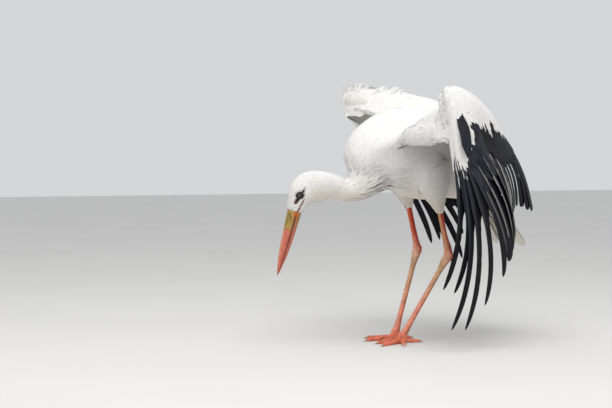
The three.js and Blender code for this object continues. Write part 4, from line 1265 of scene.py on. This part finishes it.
def mandible(upper, share, angle):
    """Round a half oval: width * cos^p and height * sin^q of the angle from 0 at the one cutting edge
    over the ridge to pi at the other, both shrinking as (1 - 0.42 s)(1 - s^5), less nostril and groove."""
    taper = np.maximum((1 - 0.42 * share) * (1 - share**5), 0.03)
    c, s = np.cos(angle), np.sin(angle)
    sign = 1 if upper else -1
    narrow = 1.0 + (0.3 if upper else 0.1) * smooth(0.0, 0.5, share)
    wide = (BILL_HALF_WIDTH if upper else 0.94 * BILL_HALF_WIDTH) * taper
    high = (BILL_HALF_DEPTH + sign * MOUTH_DROP) * taper
    y = wide * np.sign(c) * np.abs(c) ** narrow
    z = MOUTH_GAP + (high - MOUTH_GAP) * s**0.92
    sunk = np.zeros_like(z)
    if upper:
        from_edge = np.minimum(angle, np.pi - angle)
        groove = smooth(0.12, 0.2, share) * smooth(0.62, 0.35, share)
        groove = groove * np.exp(-(((from_edge - NOSTRIL_TURN) / 0.16) ** 2))
        sunk = 1.7 * nostril(share, from_edge, 0.085) + 0.5 * groove
    sunk = sunk + 0.07 * np.cos(34 * angle) * smooth(0.9, 0.6, share)
    sunk = sunk + 0.12 * cloud(np.stack([share * 160, angle * 3, angle], -1), 9, 3)
    length = np.hypot(y / wide, z / high) + 1e-6
    y, z = y - sunk * (y / wide) / length, z - sunk * (z / high) / length
    lift = sign * z - MOUTH_DROP * taper
    along = BILL_BASE + BILL_ALONG * (share * BILL_LENGTH)[..., None]
    return along + BILL_RIDGE * lift[..., None] + np.array((0, 1, 0)) * y[..., None]


def horn_tint(upper, share, angle, points):
    """Olive base with soot marks on the ridge's side and orange by the gape, salmon beyond it with a paler
    ridge that is a painted highlight, and wine-red cutting edges."""
    from_edge = np.minimum(angle, np.pi - angle)
    soft, fine = cloud(points, 22, 11), cloud(points * (1, 2.2, 0.5), 5.5, 12)
    base = smooth(0.44 if upper else 0.36, 0.26 if upper else 0.2, share - 0.10 * (soft - 0.5))[..., None]
    # painted highlight along the ridge, weaker on the lower mandible
    ridge = (smooth(0.6, 1.3, from_edge) * 0.75)[..., None]
    colour = SALMON + (RIDGE_HIGHLIGHT - SALMON) * ridge * (1 if upper else 0.3)
    colour = colour * (0.86 + 0.26 * fine[..., None])
    colour = colour + (OLIVE * (0.75 + 0.5 * soft[..., None]) - colour) * base
    gape = (smooth(0.5, 0.2, from_edge) * smooth(0.24, 0.14, share))[..., None]
    colour = colour + (ORANGE - colour) * gape * 0.9
    if upper:
        marks = smooth(0.62, 0.8, fine) * smooth(0.42, 0.3, share) * smooth(0.1, 0.16, share)
        marks = marks * smooth(0.55, 0.85, from_edge) * smooth(1.5, 1.2, from_edge)
        sooty = np.maximum(marks * 0.85, nostril(share, from_edge, 0.075))
        colour = colour + (SOOT - colour) * sooty[..., None]
    edge = smooth(0.20, 0.04, from_edge)[..., None] * smooth(0.1, 0.2, share)[..., None]
    return colour + (WINE - colour) * edge * 0.9


# Horn: its colour from the points, under long fibres that shade it, roughen it and stand out.
horn_look, add, surface = new_look("horn")
place = add("UVMap", uv_map="Horn").outputs["UV"]
stretched = add("Mapping", {"Scale": (0.35, 7, 1), "Vector": place}).outputs["Vector"]
fibre = add("TexNoise", {"Scale": 3, "Detail": 7, "Vector": stretched}).outputs["Fac"]
rough = add("MapRange", {"To Min": 0.28, "To Max": 0.52, "Value": fibre})
bump = add("Bump", {"Strength": 0.4, "Distance": 0.0004, "Height": fibre})
feed(surface, {"Base Color": shaded_tint(add, fibre, 0.5, "OVERLAY"),
               "Roughness": rough.outputs["Result"], "Normal": bump.outputs["Normal"]})

ROWS, ARC, FLAT = 130, 61, 15  # rings, and the points of each over the horn and across the mouth
for upper in (True, False):
    share, angle = grid(np.linspace(0, 1 if upper else 0.985, ROWS), np.linspace(0, np.pi, ARC))
    outside = mandible(upper, share, angle)
    across = np.linspace(0, 1, FLAT + 2)[1:-1][None, :, None]
    inside = outside[:, -1:] * (1 - across) + outside[:, :1] * across
    ring = np.concatenate([outside, inside], 1)
    name = "bill_upper" if upper else "bill_lower"
    bill = faced_out(new_mesh(f"{name}_horn", capped(ring), round_faces(ROWS, ARC + FLAT)))
    shade = horn_tint(upper, share, angle, outside)
    shade = np.concatenate([shade, np.broadcast_to(WINE, inside.shape)], 1)
    tinted(bill, np.concatenate([shade[0, :1], shade.reshape(-1, 3), shade[-1, :1]]))
    place = np.stack(grid(np.linspace(0, BILL_LENGTH / 10, ROWS), np.linspace(0, 6, ARC + FLAT)), -1)
    place = place.reshape(-1, 2)
    mapped(bill, "Horn", np.concatenate([place[:1], place, place[-1:]]))
    dressed(bill, horn_look)
    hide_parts(name)

# ================================================================ bristles
# Sparse hair-like plumes that stand out of the short coat on the crown, nape and throat. They are
# blades like the coat's, 9 to 20 mm long and less than half a millimetre wide.
picks = np.random.default_rng(21)
share, turn = picks.uniform(0.05, 0.5, 90), picks.uniform(0, 1, 90)
lie = unit(head_neck_surface(share + STEP, turn) - head_neck_surface(share - STEP, turn))
roots, lie, share, turn = on_hide(head_neck_surface(share, turn), lie, share, turn)
clear = np.maximum.reduce(bare_face(roots)) < 0.1
roots, lie, share, turn = (x[clear] for x in (roots, lie, share, turn))
n = len(roots)
plumes = feathers(
    hide, roots, unit(lie + picks.normal(0, 0.25, (n, 3))), picks.uniform(9, 20, n), 0.22,
    picks.uniform(3, 6, n), stand=picks.uniform(0, 4, n), mid=0.4,
)
place = np.stack([turn % 1, share], -1) * 0.32
bristles = coat_piece("bristles", plumes, np.broadcast_to(WHITE * 0.85, (n, 3)), place, white_feather)

# ================================================================ legs and feet
# Bare legs of horny skin: the lower shank, the knobbly hock, the long tarsus and four toes with pads
# under their joints. Small six-sided scales all over, broad plates on the hock and along the toes.

# Shares of the way down, half depths in front and behind, half width.
SHANK_LOW = np.array([
    (0.44, 7.2, 7.2, 6.4), (0.7, 6.6, 6.6, 6.0), (0.88, 7.6, 7.2, 6.8), (1, 10.2, 9.4, 9.2),
    (1.03, 8, 8, 7.6),
])
TARSUS = np.array([
    (-0.04, 9.4, 9.4, 8.6), (0, 11.4, 10.4, 9.8), (0.05, 10.6, 10.8, 9.4), (0.11, 8.6, 9.2, 8.2),
    (0.24, 6.2, 6.6, 6.0), (0.8, 6.4, 6.6, 6.0), (1, 9.4, 9.4, 8.6),
])
# The ball of the foot: x, y and z from the ankle's place on the floor, and the half sizes.
BALL = np.array([
    (0, 0, 25, 9.6, 9.6, 8.8), (-1, 0, 16, 11.4, 11.4, 10.4), (-3, 0, 6, 11.5, 10.5, 11),
    (-3, 0, 1.5, 9, 8.5, 9),
])
UP, FLOOR_GAP = np.array((0, 0, 1)), 0.02
TOE_GIRTH = 5.4
# Length, degrees from the middle toe, and share of the girth.
TOES = {"inner": (64, 30, 1), "middle": (80, 0, 1), "outer": (68, -37, 1), "hind": (40, 0, 0.85)}
# Share of a toe's length, height of its middle and half depths and width in toe girths.
TOE = np.array([
    (0.0, 9, 1.3, 1.3, 1.2), (0.13, 7.2, 1.05, 1.15, 1.05), (0.25, 5.5, 0.92, 1.08, 0.98),
    (0.36, 5.0, 0.86, 0.95, 0.86), (0.47, 4.7, 0.92, 1.02, 0.97), (0.58, 4.1, 0.78, 0.86, 0.8),
    (0.7, 3.9, 0.82, 0.92, 0.88), (0.81, 3.6, 0.7, 0.78, 0.74), (0.92, 3.5, 0.74, 0.82, 0.78),
    (1.0, 3.1, 0.5, 0.6, 0.55), (1.03, 3.0, 0.3, 0.35, 0.3),
])
WEBS = (("outer", 26, -1), ("inner", 17, 1))  # from the middle toe to it, reach in mm, way round
WEB_HIGH, WEB_FALL, WEB_HALF = 5.2, 0.06, 1.5  # mm at the root, fall per mm of reach, half thickness
PLATE_LONG, TOE_PLATE_LONG = 5.2, 4.4  # mm
# The colours for the back of the shank and tarsus are darker as painted shade, and the tarsus's pale front
# colour is a painted highlight.
SHANK_FRONT, SHANK_SHADE = np.array((0.66, 0.10, 0.028)), np.array((0.40, 0.022, 0.006))
HOCK_PALE, TARSUS_HIGHLIGHT = np.array((0.86, 0.50, 0.37)), np.array((0.86, 0.52, 0.38))
TARSUS_TAN, TARSUS_SHADE = np.array((0.56, 0.34, 0.175)), np.array((0.34, 0.10, 0.04))
CORAL, FOOT = np.array((0.74, 0.20, 0.12)), np.array((0.70, 0.17, 0.09))


def toe_way(leg, toe):
    """The level direction in which a toe points."""
    turn = leg["hallux"] if toe == "hind" else leg["heading"] + leg["side"] * TOES[toe][1]
    return np.array((np.cos(np.radians(turn)), np.sin(np.radians(turn)), 0))


def toe_loft(leg, way, shares, heights, halves):
    """A toe or nail: oval sections at these distances from the ankle's place on the floor, and heights."""
    middle = np.array(leg["ankle"], float) * (1, 1, 0) + way * shares[:, None] + UP * heights[:, None]
    return loft(np.hstack([middle, halves]), across=np.cross(way, UP))


def bell(x, wide):
    """e^-(x / wide)^2."""
    return np.exp(-((x / wide) ** 2))


def plates(far, long):
    """Rounded steps: the sine's size to the power 0.6, one hump to each plate."""
    return np.abs(np.sin(np.pi * far / long)) ** 0.6


def leg_steps(leg, points, normals, down):
    """How far the skin stands out: plates round the hock and on top of each toe, knobs on the hock."""
    front = smooth(-0.1, 0.6, -normals[:, 0]) * smooth(75, 55, down) * smooth(-34, -20, down)
    step = 0.55 * front * plates(down, PLATE_LONG)
    for toe in TOES:
        way = toe_way(leg, toe)
        flat = points - np.array(leg["ankle"], float) * (1, 1, 0)
        far = flat @ way
        off = np.linalg.norm(flat[:, :2] - far[:, None] * way[:2], axis=1)
        on_toe = smooth(7, 4.5, off) * smooth(12, 20, far) * smooth(0.2, 0.7, normals[:, 2])
        step = step + 0.5 * on_toe * smooth(14, 11, points[:, 2]) * plates(far, TOE_PLATE_LONG)
    step = step + 2.2 * (cloud(points, 7.0, 31) - 0.5) * bell(down + 1, 17)
    return step + 0.35 * (cloud(points, 3.4, 32) - 0.5) * smooth(40, 10, points[:, 2])


def leg_colour(leg, points, normals, down):
    """Red shank, darker behind as painted shade; pale hock; tan tarsus that turns coral downwards, with a
    brown-red back painted as shade and a paler front painted as a highlight; red foot. The near shank, on the
    left, is tan in front down to the hock."""
    soft = cloud(points, 16, 33)
    back = normals[:, 0]
    # painted shade: the shank's and tarsus's backs are darker
    shade_behind = smooth(-0.85, -0.1, back)[:, None]
    shank = SHANK_FRONT * (1 - shade_behind) + SHANK_SHADE * shade_behind
    tarsus = mixed(TARSUS_TAN, CORAL, smooth(40, 170, down)) * (0.8 + 0.4 * soft[:, None])
    tarsus = mixed(tarsus, TARSUS_SHADE, 0.6 * smooth(-0.25, 0.25, back))
    colour = mixed(shank, tarsus, smooth(-4, 16, down))
    # painted highlight: the tarsus's front is paler
    colour = mixed(colour, TARSUS_HIGHLIGHT, smooth(0.2, -0.7, back) * smooth(20, 60, down) * 0.3)
    if leg["side"] < 0:
        edge = -0.8 + 0.8 * smooth(-118, -15, down)
        tan = smooth(edge + 0.2, edge - 0.2, back) * smooth(10, -8, down)
        colour = mixed(colour, TARSUS_TAN * (0.95, 0.85, 0.8), 0.8 * tan)
    pale = bell(down - 4, 19 + 5 * leg["side"]) * smooth(0.3, -0.2, back) * (0.45 + 0.55 * soft)
    colour = mixed(colour, HOCK_PALE, pale * 0.85)
    colour = mixed(colour, SHANK_FRONT, bell(down - 1, 15) * smooth(0.1, 0.8, back) * 0.8)
    return mixed(colour, FOOT * (0.75 + 0.5 * soft[:, None]), smooth(34, 12, points[:, 2]))


# Horny skin: the tint broken by scales with darker seams, blotched and slightly rough.
leg_skin, add, surface = new_look("leg_skin")
place = add("TexCoord").outputs["Object"]
edges = add("TexVoronoi", {"Scale": 330, "Vector": place}, feature="DISTANCE_TO_EDGE").outputs["Distance"]
stain = add("TexNoise", {"Scale": 60, "Detail": 6, "Vector": place}).outputs["Fac"]
seam = add("MapRange", {"From Max": 0.10, "To Min": 0.72, "To Max": 1.06, "Value": edges}).outputs["Result"]
blotch = add("MapRange", {"To Min": 0.8, "To Max": 1.25, "Value": stain}).outputs["Result"]
shade = add("Math", {0: seam, 1: blotch}, operation="MULTIPLY").outputs["Value"]
rough = add("MapRange", {"To Min": 0.38, "To Max": 0.62, "Value": stain})
bump = add("Bump", {"Strength": 0.6, "Distance": 0.0006, "Height": seam})
feed(surface, {"Base Color": shaded_tint(add, shade, 1.0), "Roughness": rough.outputs["Result"],
               "Normal": bump.outputs["Normal"]})
for name, leg in LEGS.items():
    knee, hock, ankle = (np.array(leg[joint], float) for joint in ("knee", "hock", "ankle"))
    ground = ankle * (1, 1, 0)
    parts = [
        closed_body(loft(between(knee, hock, SHANK_LOW)), 60, 30),
        closed_body(loft(between(hock, ankle, TARSUS)), 110, 30),
        closed_body(loft(BALL + (*ground, 0, 0, 0)), 16, 28),
    ]
    for toe, (length, _, girth) in TOES.items():
        way = toe_way(leg, toe)
        body = toe_loft(leg, way, length * TOE[:, 0], TOE[:, 1], TOE[:, 2:] * TOE_GIRTH * girth)
        parts.append(closed_body(body, 56, 22))
    # small webs between the toes' roots
    for other, reach, way_round in WEBS:
        a, b = grid(np.linspace(0, 1, 14), np.linspace(0, 1, 14))
        spoke = mixed(toe_way(leg, "middle"), toe_way(leg, other), b)
        web = ground + spoke * (reach * (1 - 0.9 * b * (1 - b)) * a)[..., None]
        web = web + UP * (WEB_HIGH - WEB_FALL * reach * a)[..., None]
        parts.append(closed_sheet(web + UP * WEB_HALF, web - UP * WEB_HALF, flip=leg["side"] * way_round < 0))
    limb = remeshed(f"leg_{name}", parts, 1.35, 2)
    points, normals = read_points(limb)
    down = (points - hock) @ unit(ankle - hock)
    points = points + normals * leg_steps(leg, points, normals, down)[:, None]
    points[:, 2] = np.maximum(points[:, 2], FLOOR_GAP)
    move_points(limb, points)
    tinted(limb, leg_colour(leg, points, normals, down))
    dressed(limb, leg_skin)
    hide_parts(f"shank_{name}", f"tarsus_{name}", f"foot_{name}")

# ================================================================ claws
# Eight short blunt flat nails of pale horn, set into the toes' tips and worn level with the floor.
# They are of oval sections, as the toes are, and joined in one piece.

# Past the toe's end and over the floor, in mm, and half sizes in toe girths.
NAIL_FAR, NAIL_HIGH = np.array([-3, 1, 5, 8.5, 11.5]), np.array([3.4, 3.3, 2.8, 2.1, 1.5])
NAIL = np.array(
    [(0.45, 0.5, 0.42), (0.52, 0.52, 0.5), (0.46, 0.4, 0.46), (0.34, 0.28, 0.36), (0.2, 0.16, 0.2)])
NAIL_ROOT, NAIL_TIP = np.array((0.44, 0.26, 0.19)), np.array((0.74, 0.62, 0.50))
parts, shades = [], []
for name, leg in LEGS.items():
    for toe, (length, _, girth) in TOES.items():
        way = toe_way(leg, toe)
        nail = toe_loft(leg, way, length + NAIL_FAR, NAIL_HIGH, TOE_GIRTH * girth * NAIL)
        points, faces = closed_body(nail, 20, 20)
        points[:, 2] = np.maximum(points[:, 2], 0.03)
        parts.append((points, faces))
        reach = (points - np.array(leg["ankle"], float) * (1, 1, 0)) @ way - length
        shades.append(mixed(NAIL_ROOT, NAIL_TIP, smooth(1, 10, reach)))
claws = faced_out(new_mesh("claws", *gather(parts)))
tinted(claws, np.concatenate(shades))
dressed(claws, leg_skin)
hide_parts(*[f"claw_{name}_{toe}" for name in LEGS for toe in TOES])

# ================================================================ floor, light and camera
# A pale matt floor, an even pale surround and one large soft lamp above the bird's left front. The
# camera stands level with its legs, on its left side and somewhat ahead of it.
HALF_FLOOR = 12  # m
floor_mesh = bpy.data.meshes.new("floor")
corners = [(x * HALF_FLOOR, y * HALF_FLOOR, 0) for x, y in ((-1, -1), (1, -1), (1, 1), (-1, 1))]
floor_mesh.from_pydata(corners, [], [(0, 1, 2, 3)])
floor_look, add, surface = new_look("pale_floor")
grain = add("TexNoise", {"Scale": 2.5, "Detail": 8, "Vector": add("TexCoord").outputs["Object"]})
tone = add("ValToRGB", {"Fac": grain.outputs["Fac"]})
for element, colour in zip(tone.color_ramp.elements, ((0.70, 0.695, 0.68, 1), (0.77, 0.765, 0.75, 1))):
    element.color = colour
feed(surface, {"Base Color": tone.outputs["Color"], "Roughness": 0.95})
floor_mesh.materials.append(floor_look)
in_scene("floor", floor_mesh)

camera_data = bpy.data.cameras.new("camera")
camera_data.lens, camera_data.sensor_width, camera_data.clip_end = 80, 36, 100
camera = in_scene("camera", camera_data)
camera.location = (-1.5328, -2.8780, 0.4425)
camera.rotation_euler = (np.radians(88), 0, np.radians(-24))
bpy.context.scene.camera = camera
world = bpy.data.worlds.new("studio")
bpy.context.scene.world = world
world.use_nodes = True
feed(world.node_tree.nodes["Background"], {"Color": (0.97, 0.985, 1.0, 1), "Strength": 0.68})
key_data = bpy.data.lights.new("key", "AREA")
key_data.size, key_data.energy, key_data.color = 2.4, 57, (1.0, 0.975, 0.94)
key = in_scene("key", key_data)
key.location = (-0.7, -1.2, 2.7)
key.rotation_euler = (np.radians(24), 0, np.radians(-30))
bpy.context.scene.view_settings.view_transform = "Standard"

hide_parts("trunk", "neck", "head", "thigh_left", "thigh_right")
